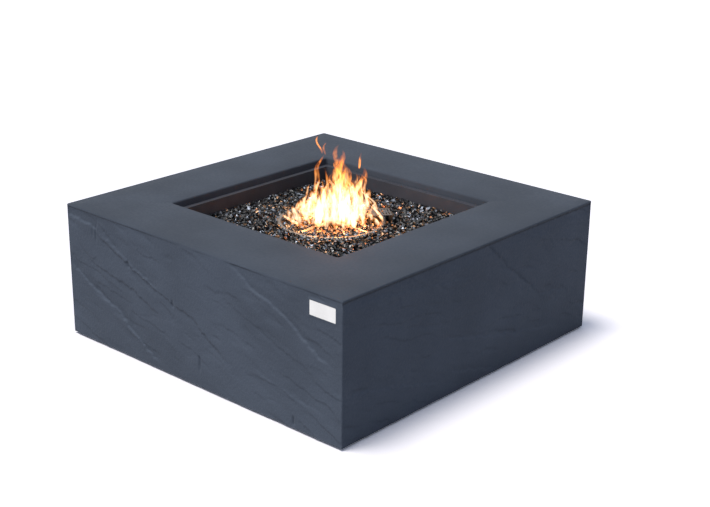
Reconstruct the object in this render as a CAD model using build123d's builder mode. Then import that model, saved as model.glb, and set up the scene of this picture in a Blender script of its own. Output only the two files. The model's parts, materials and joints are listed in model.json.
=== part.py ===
"""Square gas fire pit with a cast slate-look body, modelled in millimetres.

A glass-fibre concrete casting stands on four levelling feet. A steel pan hangs in the deck opening and
carries a ring burner in a bed of fire glass. The gas valve, the igniter and the gas inlet sit in a
recessed tray in the back wall. The origin is on the floor at the centre of the footprint, +Z is up and
-Y is the front face, which carries the badge plate.
"""

import os
from math import cos, pi, radians, sin, tan

from build123d import *

os.makedirs("parts", exist_ok=True)

# ---------------------------------------------------------------- clearances
seat_gap = 0.3  # between a piece and the seat that carries it
slip_fit = 0.05  # radial, between pieces that stay together
running_fit = 0.06  # radial, between a turning or sliding shaft and its hole
bolt_clearance = 0.4  # radial, round a screw that passes freely

# ---------------------------------------------------------------- body casting
body_width = 1016.0
body_height = 380.0
foot_gap = 6.0  # floor to the casting's lower edge
wall = 15.0
deck_thickness = 22.0
corner_radius = 5.0
deck_edge_radius = 3.0
cavity_radius = 12.0
opening_width = 612.0
opening_radius = 6.0
opening_edge_radius = 5.0
flange_drop = 20.0  # deck to the top of the pan flange
ledge_width = 14.0
ledge_thickness = 15.0
collar_wall = 14.0

# ---------------------------------------------------------------- badge plate
badge_width = 82.0
badge_height = 37.0
badge_thickness = 2.0
badge_radius = 1.5
badge_gap = 0.4
badge_from_right = 63.0  # right-hand edge of the front face to the plate's centre
badge_from_deck = 43.0

# ---------------------------------------------------------------- base frame and feet
frame_height = 16.0  # floor to the frame's underside
angle_leg = 40.0
angle_thickness = 3.0
foot_inset = 68.0  # body side to the foot's axis
foot_plate_width = 84.0
foot_plate_thickness = 5.0
foot_plate_radius = 6.0
frame_bolt_radius = 3.0
frame_bolt_span = 640.0
frame_bolt_grip = 9.5  # bolt in the casting
frame_bolt_flats = 10.0
frame_bolt_head = 4.0
stud_radius = 5.0
stud_flats = 17.0
stud_above_nut = 16.0
weld_nut_height = 8.0
lock_nut_height = 6.0
foot_pad_width = 56.0
foot_pad_height = 8.0
foot_pad_radius = 9.0
foot_socket_radius = 7.0
foot_socket_depth = 5.0

# ---------------------------------------------------------------- burner pan
pan_sheet = 1.5
pan_clearance = 2.0
pan_depth = 95.0
pan_corner_radius = 8.0
pan_bend_radius = 3.0
drain_radius = 4.0
drain_inset = 40.0

# ---------------------------------------------------------------- burner
ring_radius = 144.0
ring_tube_radius = 8.5
ring_tube_sides = 16  # the round tube is drawn with flats
ring_height = 55.5  # pan floor to the tube's centre
arm_tube_radius = 7.0
hub_radius = 18.0
hub_height = 30.0
hub_above_ring = 10.0
hub_socket_depth = 16.0
port_count = 24
port_radius = 1.2
port_depth = 2.5
nipple_radius = 10.65
nipple_bore_radius = 7.9
nipple_below_pan = 56.0
nipple_in_elbow = 12.0
pan_nut_flats = 32.0
pan_nut_height = 6.0
elbow_width = 30.0
elbow_bore_radius = 8.0
elbow_wall = 4.0

# ---------------------------------------------------------------- air mixer
mixer_radius = 12.0
mixer_bore_radius = 9.0
mixer_length = 66.0  # beyond the elbow
mixer_hex_length = 8.0
mixer_hex_flats = 27.0
shutter_wall = 2.4
shutter_length = 28.0
window_width = 9.0
window_length = 16.0
shutter_screw_radius = 2.0
shutter_screw_head_radius = 5.0
shutter_screw_head = 5.0
jet_holder_flange = 8.0
jet_radius = 4.0
jet_length = 14.0
jet_orifice_radius = 0.9

# ---------------------------------------------------------------- gas fittings
flare_radius = 7.94  # 5/8-18 UNF male flare
flare_length = 16.0
flare_bore_radius = 3.5
flare_nose = 3.0
flare_nut_flats = 19.0
flare_nut_length = 20.0
flare_engaged = 12.0
hose_radius = 6.5
inlet_tube_radius = 4.0
inlet_bend_radius = 20.0

# ---------------------------------------------------------------- fire glass and igniter guard
glass_depth = 60.0
glass_heap_height = 9.0
glass_heap_pitch = 63.0
glass_heap_valley = 6.0
glass_heap_taper = 50.0
glass_side_gap = 1.0
glass_clearance = 1.0
guard_angle = 51.0  # from +X towards +Y
guard_radius = 136.0
guard_length = 60.0  # along the ring's radius
guard_width = 58.0
guard_height = 81.0
guard_sheet = 1.2
guard_bend_radius = 4.0
guard_foot = 12.0
guard_slot_count = 5
guard_slot_length = 44.0
guard_slot_width = 3.6
guard_slot_pitch = 8.0
bracket_sheet = 1.5
bracket_width = 52.0
bracket_reach = 20.0
bracket_height = 36.0
bracket_from_leg = 3.0
probe_spacing = 24.0
bracket_screw_spacing = 42.0
pan_screw_radius = 2.0
pan_screw_head_radius = 3.6
pan_screw_head = 2.4
pan_screw_length = 8.0
insulator_radius = 4.0
insulator_above_floor = 58.0
insulator_below_floor = 14.0
electrode_radius = 1.2
electrode_above = 12.0
electrode_below = 6.0
thermocouple_radius = 3.0
thermocouple_above_floor = 66.0
thermocouple_below_floor = 10.0
thermocouple_lead_radius = 1.5
ignition_lead_radius = 2.0

# ---------------------------------------------------------------- control tray in the back wall
control_x = -180.0
control_height = 205.0
tray_width = 250.0
tray_height = 104.0
tray_depth = 42.0
tray_sheet = 1.5
tray_flange = 14.0
tray_radius = 4.0
tray_recess = 3.0
tray_clearance = 1.5
tray_screw_radius = 2.0
tray_screw_head_radius = 3.6
tray_screw_head = 1.2
tray_screw_length = 10.0
control_spacing = 85.0  # knob to igniter, and knob to inlet

# ---------------------------------------------------------------- gas valve and knob
knob_radius = 21.0
knob_grip_radius = 16.0
knob_length = 26.0
knob_skirt = 6.0
knob_skirt_taper = 15.0
knob_chamfer = 1.0
knob_gap = 4.5  # tray to the knob's back
knob_bore_depth = 18.0
knob_flute_radius = 5.0
knob_flute_count = 6
knob_flute_centre = 19.0
knob_mark_width = 2.0
knob_mark_depth = 0.8
push_travel = 3.5
stem_radius = 4.0
stem_flat = 1.0
stem_collar_radius = 8.9
stem_collar = 2.0
tang_width = 7.6
tang_thickness = 3.0
tang_length = 14.0
tang_clearance = 0.3
stem_spring_radius = 6.4
stem_spring_wire = 0.9
stem_spring_turns = 4
bonnet_width = 62.0
bonnet_height = 30.0
bonnet_flange = 4.0
bonnet_neck_radius = 12.5
bonnet_neck = 14.0
bonnet_bore_radius = 9.3
bonnet_thread_radius = 10.6
bonnet_thread = 4.0
valve_screw_spacing = 52.0
valve_screw_radius = 2.0
valve_screw_head_radius = 3.6
valve_screw_head = 2.4
valve_width = 36.0
valve_length = 40.0
plug_large_radius = 8.5
plug_small_radius = 6.5
plug_length = 23.0
plug_bore_radius = 3.5
plug_port_radius = 2.4
plug_port_from_end = 3.5
magnet_radius = 7.5
magnet_length = 22.0
magnet_thread_radius = 7.0
magnet_thread = 7.0
magnet_flats = 17.0
magnet_flange = 6.0
magnet_from_back = 16.0
probe_nut_flats = 10.0
probe_nut_length = 10.0
probe_nut_entry = 4.0

# ---------------------------------------------------------------- igniter
igniter_radius = 12.0
igniter_length = 68.0
igniter_flange_radius = 16.0
igniter_flange = 4.0
igniter_mouth_radius = 10.8
igniter_bore_radius = 7.6
igniter_nut_flats = 30.0
igniter_nut_height = 5.0
igniter_terminal_radius = 3.5
igniter_terminal = 6.0
bezel_depth = 3.3
button_radius = 9.0
button_flange_radius = 10.4
button_flange = 3.0
button_height = 11.0  # above the tray
button_gap = 0.35
button_spring_radius = 4.6
button_spring_wire = 0.8
button_spring_turns = 3
button_spring_length = 9.4
battery_radius = 7.25
battery_length = 49.2
battery_nub_radius = 2.75
battery_nub = 1.3

# ---------------------------------------------------------------- gas inlet
inlet_flare_length = 20.0
inlet_hex_flats = 24.0
inlet_hex = 6.0
inlet_nut_height = 5.0
inlet_rear = 14.0
inlet_tube_nut_length = 13.0

# ---------------------------------------------------------------- derived levels and widths
half_width = body_width / 2
cavity_width = body_width - 2 * wall
deck_underside = body_height - deck_thickness
flange_top = body_height - flange_drop
ledge_top = flange_top - pan_sheet
collar_bottom = ledge_top - ledge_thickness
throat_width = opening_width - 2 * ledge_width
collar_width = opening_width + 2 * collar_wall
pan_width = throat_width - 2 * pan_clearance
pan_floor = flange_top - pan_depth
pan_underside = pan_floor - pan_sheet
ring_centre = pan_floor + ring_height
glass_top = pan_floor + glass_depth
frame_width = cavity_width - 2 * seat_gap
frame_bolt_height = frame_height + (angle_thickness + angle_leg) / 2
foot_place = half_width - foot_inset
plate_top = frame_height + foot_plate_thickness
weld_nut_top = plate_top + weld_nut_height

foot_places = {
    "front_left": (-foot_place, -foot_place),
    "front_right": (foot_place, -foot_place),
    "back_left": (-foot_place, foot_place),
    "back_right": (foot_place, foot_place),
}
wall_directions = ((1, 0), (0, 1), (-1, 0), (0, -1))


def facing_back(x, y, z):
    """Plane that looks out of the back wall: its X runs to -X and its Y runs up."""
    return Plane(origin=(x, y, z), x_dir=(-1, 0, 0), z_dir=(0, 1, 0))


def facing_centre(distance, height):
    """Planes parallel to the four walls, at one distance from the centre and facing it."""
    return [
        Plane(origin=(distance * x, distance * y, height), x_dir=(y, -x, 0), z_dir=(-x, -y, 0))
        for x, y in wall_directions
    ]


def save(piece, name):
    """Label a finished piece and write it to its own file."""
    piece.part.label = name
    export_step(piece.part, f"parts/{name}.step")


# ================================================================ body casting
back_face = half_width
tray_face = back_face - tray_recess + tray_sheet  # front of the tray's flange
plate_front = tray_face - tray_depth
plate_back = plate_front - tray_sheet
tray_outer_width = tray_width + 2 * tray_sheet
tray_outer_height = tray_height + 2 * tray_sheet
flange_outer_width = tray_width + 2 * tray_flange
flange_outer_height = tray_height + 2 * tray_flange
tray_screw_x = tray_width / 2 + tray_sheet + tray_flange / 2
tray_screw_z = tray_height / 2 - tray_flange
tray_screw_places = [(x, z) for x in (-tray_screw_x, tray_screw_x) for z in (-tray_screw_z, tray_screw_z)]
badge_plane = Plane(
    origin=(half_width - badge_from_right, -half_width, body_height - badge_from_deck),
    x_dir=(1, 0, 0),
    z_dir=(0, -1, 0),
)

with BuildPart() as body_shell:
    with BuildSketch(Plane.XY.offset(foot_gap)):
        RectangleRounded(body_width, body_width, corner_radius)
    extrude(amount=body_height - foot_gap)
    # Open cavity under the deck
    with BuildSketch(Plane.XY.offset(foot_gap)):
        RectangleRounded(cavity_width, cavity_width, cavity_radius)
    extrude(amount=deck_underside - foot_gap, mode=Mode.SUBTRACT)
    # Collar that carries the ledge
    with BuildSketch(Plane.XY.offset(collar_bottom)):
        RectangleRounded(collar_width, collar_width, opening_radius + collar_wall)
    extrude(amount=deck_underside - collar_bottom)
    with BuildSketch(Plane.XY.offset(collar_bottom)):
        RectangleRounded(throat_width, throat_width, pan_corner_radius + pan_clearance)
    extrude(amount=body_height - collar_bottom, mode=Mode.SUBTRACT)
    with BuildSketch(Plane.XY.offset(ledge_top)):
        RectangleRounded(opening_width, opening_width, opening_radius)
    extrude(amount=body_height - ledge_top, mode=Mode.SUBTRACT)
    fillet(body_shell.faces().sort_by(Axis.Z)[-1].outer_wire().edges(), deck_edge_radius)
    fillet(body_shell.faces().sort_by(Axis.Z)[-1].inner_wires()[0].edges(), opening_edge_radius)
    # Recess and cut-out for the control tray
    with BuildSketch(facing_back(control_x, back_face, control_height)):
        RectangleRounded(
            flange_outer_width + 2 * tray_clearance,
            flange_outer_height + 2 * tray_clearance,
            tray_radius + tray_flange + tray_clearance,
        )
    extrude(amount=-tray_recess, mode=Mode.SUBTRACT)
    with BuildSketch(facing_back(control_x, back_face, control_height)):
        RectangleRounded(
            tray_outer_width + 2 * tray_clearance,
            tray_outer_height + 2 * tray_clearance,
            tray_radius + tray_sheet + tray_clearance,
        )
    extrude(amount=-wall, mode=Mode.SUBTRACT)
    with Locations(facing_back(control_x, back_face - tray_recess, control_height)):
        with Locations(*tray_screw_places):
            Hole(tray_screw_radius + slip_fit, depth=tray_screw_length)
    # Shallow seat for the badge
    with BuildSketch(badge_plane):
        RectangleRounded(badge_width + 2 * badge_gap, badge_height + 2 * badge_gap, badge_radius + badge_gap)
    extrude(amount=-badge_thickness, mode=Mode.SUBTRACT)
    # Blind holes for the frame bolts
    with Locations(*facing_centre(cavity_width / 2, frame_bolt_height)):
        with Locations((-frame_bolt_span / 2, 0), (frame_bolt_span / 2, 0)):
            Hole(frame_bolt_radius + slip_fit, depth=frame_bolt_grip + seat_gap)
save(body_shell, "body_shell")

with BuildPart() as badge_plate:
    with BuildSketch(badge_plane):
        RectangleRounded(badge_width, badge_height, badge_radius)
    extrude(amount=-badge_thickness)
save(badge_plate, "badge_plate")

# ================================================================ base frame and feet
with BuildPart() as base_frame:
    # Flat leg of the angle
    with BuildSketch(Plane.XY.offset(frame_height)):
        RectangleRounded(frame_width, frame_width, cavity_radius)
        Rectangle(frame_width - 2 * angle_leg, frame_width - 2 * angle_leg, mode=Mode.SUBTRACT)
    extrude(amount=angle_thickness)
    # Upright leg, against the casting
    with BuildSketch(Plane.XY.offset(frame_height)):
        RectangleRounded(frame_width, frame_width, cavity_radius)
        RectangleRounded(
            frame_width - 2 * angle_thickness,
            frame_width - 2 * angle_thickness,
            cavity_radius - angle_thickness,
            mode=Mode.SUBTRACT,
        )
    extrude(amount=angle_leg)
    # Foot plates with their weld nuts
    with BuildSketch(Plane.XY.offset(frame_height)):
        with Locations(*foot_places.values()):
            RectangleRounded(foot_plate_width, foot_plate_width, foot_plate_radius)
    extrude(amount=foot_plate_thickness)
    with BuildSketch(Plane.XY.offset(plate_top)):
        with Locations(*foot_places.values()):
            RegularPolygon(stud_flats / 2, 6, major_radius=False)
    extrude(amount=weld_nut_height)
    with BuildSketch(Plane.XY.offset(frame_height)):
        with Locations(*foot_places.values()):
            Circle(stud_radius + running_fit)
    extrude(amount=foot_plate_thickness + weld_nut_height, mode=Mode.SUBTRACT)
    with Locations(*facing_centre(frame_width / 2 - angle_thickness, frame_bolt_height)):
        with Locations((-frame_bolt_span / 2, 0), (frame_bolt_span / 2, 0)):
            Hole(frame_bolt_radius + bolt_clearance, depth=angle_thickness)
save(base_frame, "base_frame")

with BuildPart() as frame_bolts:
    for wall_plane in facing_centre(frame_width / 2 - angle_thickness, frame_bolt_height):
        with BuildSketch(wall_plane):
            with Locations((-frame_bolt_span / 2, 0), (frame_bolt_span / 2, 0)):
                RegularPolygon(frame_bolt_flats / 2, 6, major_radius=False)
        extrude(amount=frame_bolt_head)
        with BuildSketch(wall_plane):
            with Locations((-frame_bolt_span / 2, 0), (frame_bolt_span / 2, 0)):
                Circle(frame_bolt_radius)
        extrude(amount=-(angle_thickness + seat_gap + frame_bolt_grip))
save(frame_bolts, "frame_bolts")

with BuildPart() as foot_lock_nuts:
    with BuildSketch(Plane.XY.offset(weld_nut_top)):
        with Locations(*foot_places.values()):
            RegularPolygon(stud_flats / 2, 6, major_radius=False)
            Circle(stud_radius + running_fit, mode=Mode.SUBTRACT)
    extrude(amount=lock_nut_height)
save(foot_lock_nuts, "foot_lock_nuts")

for place_name, (foot_x, foot_y) in foot_places.items():
    foot_plane = Plane(origin=(foot_x, foot_y, 0))
    socket_floor = foot_pad_height - foot_socket_depth

    with BuildPart() as foot_pad:
        with BuildSketch(foot_plane):
            RectangleRounded(foot_pad_width, foot_pad_width, foot_pad_radius)
        extrude(amount=foot_pad_height)
        chamfer(foot_pad.faces().sort_by(Axis.Z)[-1].edges(), foot_pad_height / 4)
        with BuildSketch(foot_plane.offset(socket_floor)):
            Circle(foot_socket_radius + running_fit)
        extrude(amount=foot_socket_depth, mode=Mode.SUBTRACT)
    save(foot_pad, f"foot_pad_{place_name}")

    with BuildPart() as foot_stud:
        with BuildSketch(foot_plane.offset(socket_floor + seat_gap)):
            Circle(foot_socket_radius)
        extrude(amount=foot_socket_depth)
        with BuildSketch(foot_plane.offset(foot_pad_height + seat_gap)):
            RegularPolygon(stud_flats / 2, 6, major_radius=False)
        extrude(amount=frame_height - foot_pad_height - 2 * seat_gap)
        with BuildSketch(foot_plane.offset(foot_pad_height + seat_gap)):
            Circle(stud_radius)
        extrude(amount=weld_nut_top + lock_nut_height + stud_above_nut - foot_pad_height - seat_gap)
    save(foot_stud, f"foot_stud_{place_name}")

# ================================================================ burner pan
guard_centre = (guard_radius * cos(radians(guard_angle)), guard_radius * sin(radians(guard_angle)))
guard_plane = Plane(
    origin=(*guard_centre, pan_floor),
    x_dir=(cos(radians(guard_angle)), sin(radians(guard_angle)), 0),
    z_dir=(0, 0, 1),
)
bracket_back = guard_sheet + bracket_from_leg - guard_length / 2
probe_x = bracket_back + bracket_sheet + bracket_reach / 2
electrode_place = (probe_x, -probe_spacing / 2)
thermocouple_place = (probe_x, probe_spacing / 2)
guard_screw_places = [
    (-(guard_length + guard_foot) / 2, 0),
    ((guard_length + guard_foot) / 2, 0),
]
bracket_screw_places = [
    (probe_x, -bracket_screw_spacing / 2),
    (probe_x, bracket_screw_spacing / 2),
]
pan_floor_plane = Plane.XY.offset(pan_floor)
drain_place = pan_width / 2 - drain_inset

with BuildPart() as burner_pan:
    with BuildSketch(Plane.XY.offset(pan_underside)):
        RectangleRounded(pan_width, pan_width, pan_corner_radius)
    extrude(amount=flange_top - pan_underside)
    fillet(burner_pan.faces().sort_by(Axis.Z)[0].edges(), pan_bend_radius)
    offset(amount=-pan_sheet, openings=burner_pan.faces().sort_by(Axis.Z)[-1])
    with BuildSketch(Plane.XY.offset(ledge_top)):
        RectangleRounded(
            opening_width - 2 * pan_clearance, opening_width - 2 * pan_clearance, opening_radius
        )
        RectangleRounded(
            pan_width - 2 * pan_sheet,
            pan_width - 2 * pan_sheet,
            pan_corner_radius - pan_sheet,
            mode=Mode.SUBTRACT,
        )
    extrude(amount=pan_sheet)
    with Locations(pan_floor_plane):
        Hole(nipple_radius + bolt_clearance, depth=pan_sheet)
        with GridLocations(2 * drain_place, 2 * drain_place, 2, 2):
            Hole(drain_radius, depth=pan_sheet)
    with Locations(guard_plane):
        with Locations(*guard_screw_places, *bracket_screw_places):
            Hole(pan_screw_radius + slip_fit, depth=pan_sheet)
        with Locations(electrode_place):
            Hole(insulator_radius + seat_gap, depth=pan_sheet)
        with Locations(thermocouple_place):
            Hole(thermocouple_radius + seat_gap, depth=pan_sheet)
save(burner_pan, "burner_pan")

# ================================================================ ring burner and its pipe
hub_bottom = ring_centre + hub_above_ring - hub_height
nipple_top = hub_bottom + hub_socket_depth - seat_gap
nipple_bottom = pan_underside - nipple_below_pan
elbow_centre = nipple_bottom - elbow_width / 2
elbow_socket = elbow_width / 2 + nipple_in_elbow

with BuildPart() as burner_ring:
    with BuildSketch(Plane.XZ):
        with Locations((ring_radius, ring_centre)):
            RegularPolygon(ring_tube_radius, ring_tube_sides)
    revolve(axis=Axis.Z)
    for arm_plane in (Plane.YZ, Plane.XZ):
        with BuildSketch(arm_plane.offset(-ring_radius)):
            with Locations((0, ring_centre)):
                Circle(arm_tube_radius)
        extrude(amount=2 * ring_radius)
    with BuildSketch(Plane.XY.offset(hub_bottom)):
        Circle(hub_radius)
    extrude(amount=hub_height)
    with BuildSketch(Plane.XY.offset(hub_bottom)):
        Circle(nipple_radius + slip_fit)
    extrude(amount=hub_socket_depth, mode=Mode.SUBTRACT)
    with Locations((0, 0, ring_centre + ring_tube_radius)):
        with PolarLocations(ring_radius, port_count, start_angle=180 / port_count):
            Hole(port_radius, depth=port_depth)
save(burner_ring, "burner_ring")

with BuildPart() as burner_nipple:
    with BuildSketch(Plane.XY.offset(nipple_bottom)):
        Circle(nipple_radius)
        Circle(nipple_bore_radius, mode=Mode.SUBTRACT)
    extrude(amount=nipple_top - nipple_bottom)
save(burner_nipple, "burner_nipple")

with BuildPart() as pan_lock_nuts:
    for nut_bottom in (pan_floor, pan_underside - pan_nut_height):
        with BuildSketch(Plane.XY.offset(nut_bottom)):
            RegularPolygon(pan_nut_flats / 2, 6, major_radius=False)
            Circle(nipple_radius + slip_fit, mode=Mode.SUBTRACT)
        extrude(amount=pan_nut_height)
save(pan_lock_nuts, "pan_lock_nuts")

elbow_plane = Plane.XY.offset(elbow_centre)
elbow_outlet = facing_back(0, 0, elbow_centre)
elbow_socket_radius = nipple_radius + elbow_wall
with BuildPart() as burner_elbow:
    with Locations((0, 0, elbow_centre)):
        Box(elbow_width, elbow_width, elbow_width)
    chamfer(burner_elbow.edges().filter_by(Axis.X).sort_by(Axis.Z)[:1], elbow_width / 3)
    for socket_plane in (elbow_plane, elbow_outlet):
        with BuildSketch(socket_plane):
            Circle(elbow_socket_radius)
        extrude(amount=elbow_socket)
    for socket_plane in (elbow_plane, elbow_outlet):
        with BuildSketch(socket_plane.offset(elbow_width / 2)):
            Circle(nipple_radius + slip_fit)
        extrude(amount=nipple_in_elbow, mode=Mode.SUBTRACT)
        with BuildSketch(socket_plane):
            Circle(elbow_bore_radius)
        extrude(amount=elbow_socket, mode=Mode.SUBTRACT)
save(burner_elbow, "burner_elbow")

# ================================================================ air mixer, shutter and jet
mixer_start = elbow_width / 2 + seat_gap
shutter_start = elbow_socket + mixer_hex_length + 2 * seat_gap
shutter_end = shutter_start + shutter_length
mixer_end = elbow_socket + mixer_length
window_middle = (shutter_start + shutter_end) / 2
shutter_bore = mixer_radius + running_fit
shutter_radius = shutter_bore + shutter_wall
shutter_screw_plane = Plane(origin=(0, window_middle, elbow_centre), z_dir=(-1, 0, 1))

with BuildPart() as air_mixer:
    with BuildSketch(facing_back(0, mixer_start, elbow_centre)):
        Circle(nipple_radius)
    extrude(amount=mixer_end - mixer_start)
    with BuildSketch(facing_back(0, elbow_socket + seat_gap, elbow_centre)):
        RegularPolygon(mixer_hex_flats / 2, 6, major_radius=False)
    extrude(amount=mixer_hex_length)
    with BuildSketch(facing_back(0, elbow_socket + seat_gap, elbow_centre)):
        Circle(mixer_radius)
    extrude(amount=mixer_end - elbow_socket - seat_gap)
    with BuildSketch(facing_back(0, mixer_start, elbow_centre)):
        Circle(mixer_bore_radius)
    extrude(amount=mixer_end - mixer_start, mode=Mode.SUBTRACT)
    with Locations((0, window_middle, elbow_centre)):
        Box(window_width, window_length, 3 * mixer_radius, mode=Mode.SUBTRACT)
        Box(3 * mixer_radius, window_length, window_width, mode=Mode.SUBTRACT)
save(air_mixer, "air_mixer")

with BuildPart() as air_shutter:
    with BuildSketch(facing_back(0, shutter_start, elbow_centre)):
        Circle(shutter_radius)
        Circle(shutter_bore, mode=Mode.SUBTRACT)
    extrude(amount=shutter_length)
    with Locations((0, window_middle, elbow_centre)):
        Box(window_width, window_length, 3 * shutter_radius, mode=Mode.SUBTRACT)
        Box(3 * shutter_radius, window_length, window_width, mode=Mode.SUBTRACT)
    with BuildSketch(shutter_screw_plane):
        Circle(shutter_screw_radius + slip_fit)
    extrude(amount=2 * shutter_radius, mode=Mode.SUBTRACT)
save(air_shutter, "air_shutter")

with BuildPart() as shutter_screw:
    with BuildSketch(shutter_screw_plane.offset(mixer_radius + 2 * running_fit)):
        Circle(shutter_screw_radius)
    extrude(amount=shutter_wall + shutter_screw_head)
    with BuildSketch(shutter_screw_plane.offset(shutter_radius + seat_gap)):
        Circle(shutter_screw_head_radius)
    extrude(amount=shutter_screw_head)
save(shutter_screw, "shutter_screw")

jet_seat = mixer_end - jet_holder_flange
jet_holder_tip = mixer_end + seat_gap + jet_holder_flange + flare_length
with BuildPart() as jet_holder:
    with BuildSketch(facing_back(0, jet_seat, elbow_centre)):
        Circle(mixer_bore_radius - slip_fit)
    extrude(amount=jet_holder_flange + seat_gap)
    with BuildSketch(facing_back(0, mixer_end + seat_gap, elbow_centre)):
        RegularPolygon(mixer_hex_flats / 2, 6, major_radius=False)
    extrude(amount=jet_holder_flange)
    with BuildSketch(facing_back(0, mixer_end, elbow_centre)):
        Circle(flare_radius)
    extrude(amount=jet_holder_tip - mixer_end)
    chamfer(jet_holder.faces().sort_by(Axis.Y)[-1].edges(), flare_nose)
    with BuildSketch(facing_back(0, jet_seat, elbow_centre)):
        Circle(flare_bore_radius)
    extrude(amount=jet_holder_tip - jet_seat, mode=Mode.SUBTRACT)
    with BuildSketch(facing_back(0, jet_seat, elbow_centre)):
        Circle(jet_radius + slip_fit)
    extrude(amount=jet_length / 2, mode=Mode.SUBTRACT)
save(jet_holder, "jet_holder")

with BuildPart() as gas_jet:
    with BuildSketch(facing_back(0, jet_seat + jet_length / 2 - seat_gap, elbow_centre)):
        Circle(jet_radius)
    extrude(amount=-jet_length)
    chamfer(gas_jet.faces().sort_by(Axis.Y)[0].edges(), jet_radius / 2)
    with BuildSketch(facing_back(0, jet_seat + jet_length / 2, elbow_centre)):
        Circle(jet_orifice_radius)
    extrude(amount=-2 * jet_length, mode=Mode.SUBTRACT)
save(gas_jet, "gas_jet")

# ================================================================ igniter guard and probes
with BuildPart() as igniter_guard:
    with BuildSketch(Plane(guard_plane.origin, x_dir=guard_plane.x_dir, z_dir=-guard_plane.y_dir)):
        with Locations((0, guard_height / 2)):
            Rectangle(guard_length, guard_height)
        with Locations((0, guard_sheet / 2)):
            Rectangle(guard_length + 2 * guard_foot, guard_sheet)
        with Locations((0, (guard_height - guard_sheet) / 2)):
            Rectangle(guard_length - 2 * guard_sheet, guard_height - guard_sheet, mode=Mode.SUBTRACT)
    extrude(amount=guard_width / 2, both=True)
    guard_bends = igniter_guard.edges().filter_by(Axis(guard_plane.origin, guard_plane.y_dir))
    fillet(guard_bends.group_by(Axis.Z)[-1], guard_bend_radius)
    with BuildSketch(guard_plane.offset(guard_height)):
        for slot in range(guard_slot_count):
            with Locations((guard_length / 2 - guard_slot_pitch * (slot + 1), 0)):
                Rectangle(guard_slot_width, guard_slot_length)
    extrude(amount=-guard_sheet, mode=Mode.SUBTRACT)
    with Locations(guard_plane.offset(guard_sheet)):
        with Locations(*guard_screw_places):
            Hole(pan_screw_radius + bolt_clearance, depth=guard_sheet)
save(igniter_guard, "igniter_guard")

with BuildPart() as igniter_bracket:
    with BuildSketch(Plane(guard_plane.origin, x_dir=guard_plane.x_dir, z_dir=-guard_plane.y_dir)):
        with Locations((bracket_back + bracket_sheet / 2, bracket_height / 2)):
            Rectangle(bracket_sheet, bracket_height)
        for level in (bracket_sheet / 2, bracket_height - bracket_sheet / 2):
            with Locations((bracket_back + (bracket_sheet + bracket_reach) / 2, level)):
                Rectangle(bracket_sheet + bracket_reach, bracket_sheet)
    extrude(amount=bracket_width / 2, both=True)
    with Locations(guard_plane.offset(bracket_height)):
        with Locations(electrode_place):
            Hole(insulator_radius + seat_gap, depth=bracket_height)
        with Locations(thermocouple_place):
            Hole(thermocouple_radius + seat_gap, depth=bracket_height)
    with Locations(guard_plane.offset(bracket_sheet)):
        with Locations(*bracket_screw_places):
            Hole(pan_screw_radius + bolt_clearance, depth=bracket_sheet)
save(igniter_bracket, "igniter_bracket")

for screws_name, screw_places, seat in (
    ("guard_screws", guard_screw_places, guard_sheet),
    ("bracket_screws", bracket_screw_places, bracket_sheet),
):
    with BuildPart() as pan_screws:
        with BuildSketch(guard_plane.offset(seat)):
            with Locations(*screw_places):
                Circle(pan_screw_head_radius)
        extrude(amount=pan_screw_head)
        with BuildSketch(guard_plane.offset(seat)):
            with Locations(*screw_places):
                Circle(pan_screw_radius)
        extrude(amount=-pan_screw_length)
    save(pan_screws, screws_name)

insulator_length = insulator_above_floor + insulator_below_floor
with BuildPart() as electrode_insulator:
    with BuildSketch(guard_plane.offset(-insulator_below_floor)):
        with Locations(electrode_place):
            Circle(insulator_radius)
            Circle(electrode_radius + slip_fit, mode=Mode.SUBTRACT)
    extrude(amount=insulator_length)
save(electrode_insulator, "electrode_insulator")

with BuildPart() as spark_electrode:
    with BuildSketch(guard_plane.offset(-insulator_below_floor - electrode_below)):
        with Locations(electrode_place):
            Circle(electrode_radius)
    extrude(amount=insulator_length + electrode_below + electrode_above)
save(spark_electrode, "spark_electrode")

with BuildPart() as thermocouple_probe:
    with BuildSketch(guard_plane.offset(-thermocouple_below_floor)):
        with Locations(thermocouple_place):
            Circle(thermocouple_radius)
    extrude(amount=thermocouple_above_floor + thermocouple_below_floor)
    chamfer(thermocouple_probe.faces().sort_by(Axis.Z)[-1].edges(), thermocouple_radius / 3)
save(thermocouple_probe, "thermocouple_probe")

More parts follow.
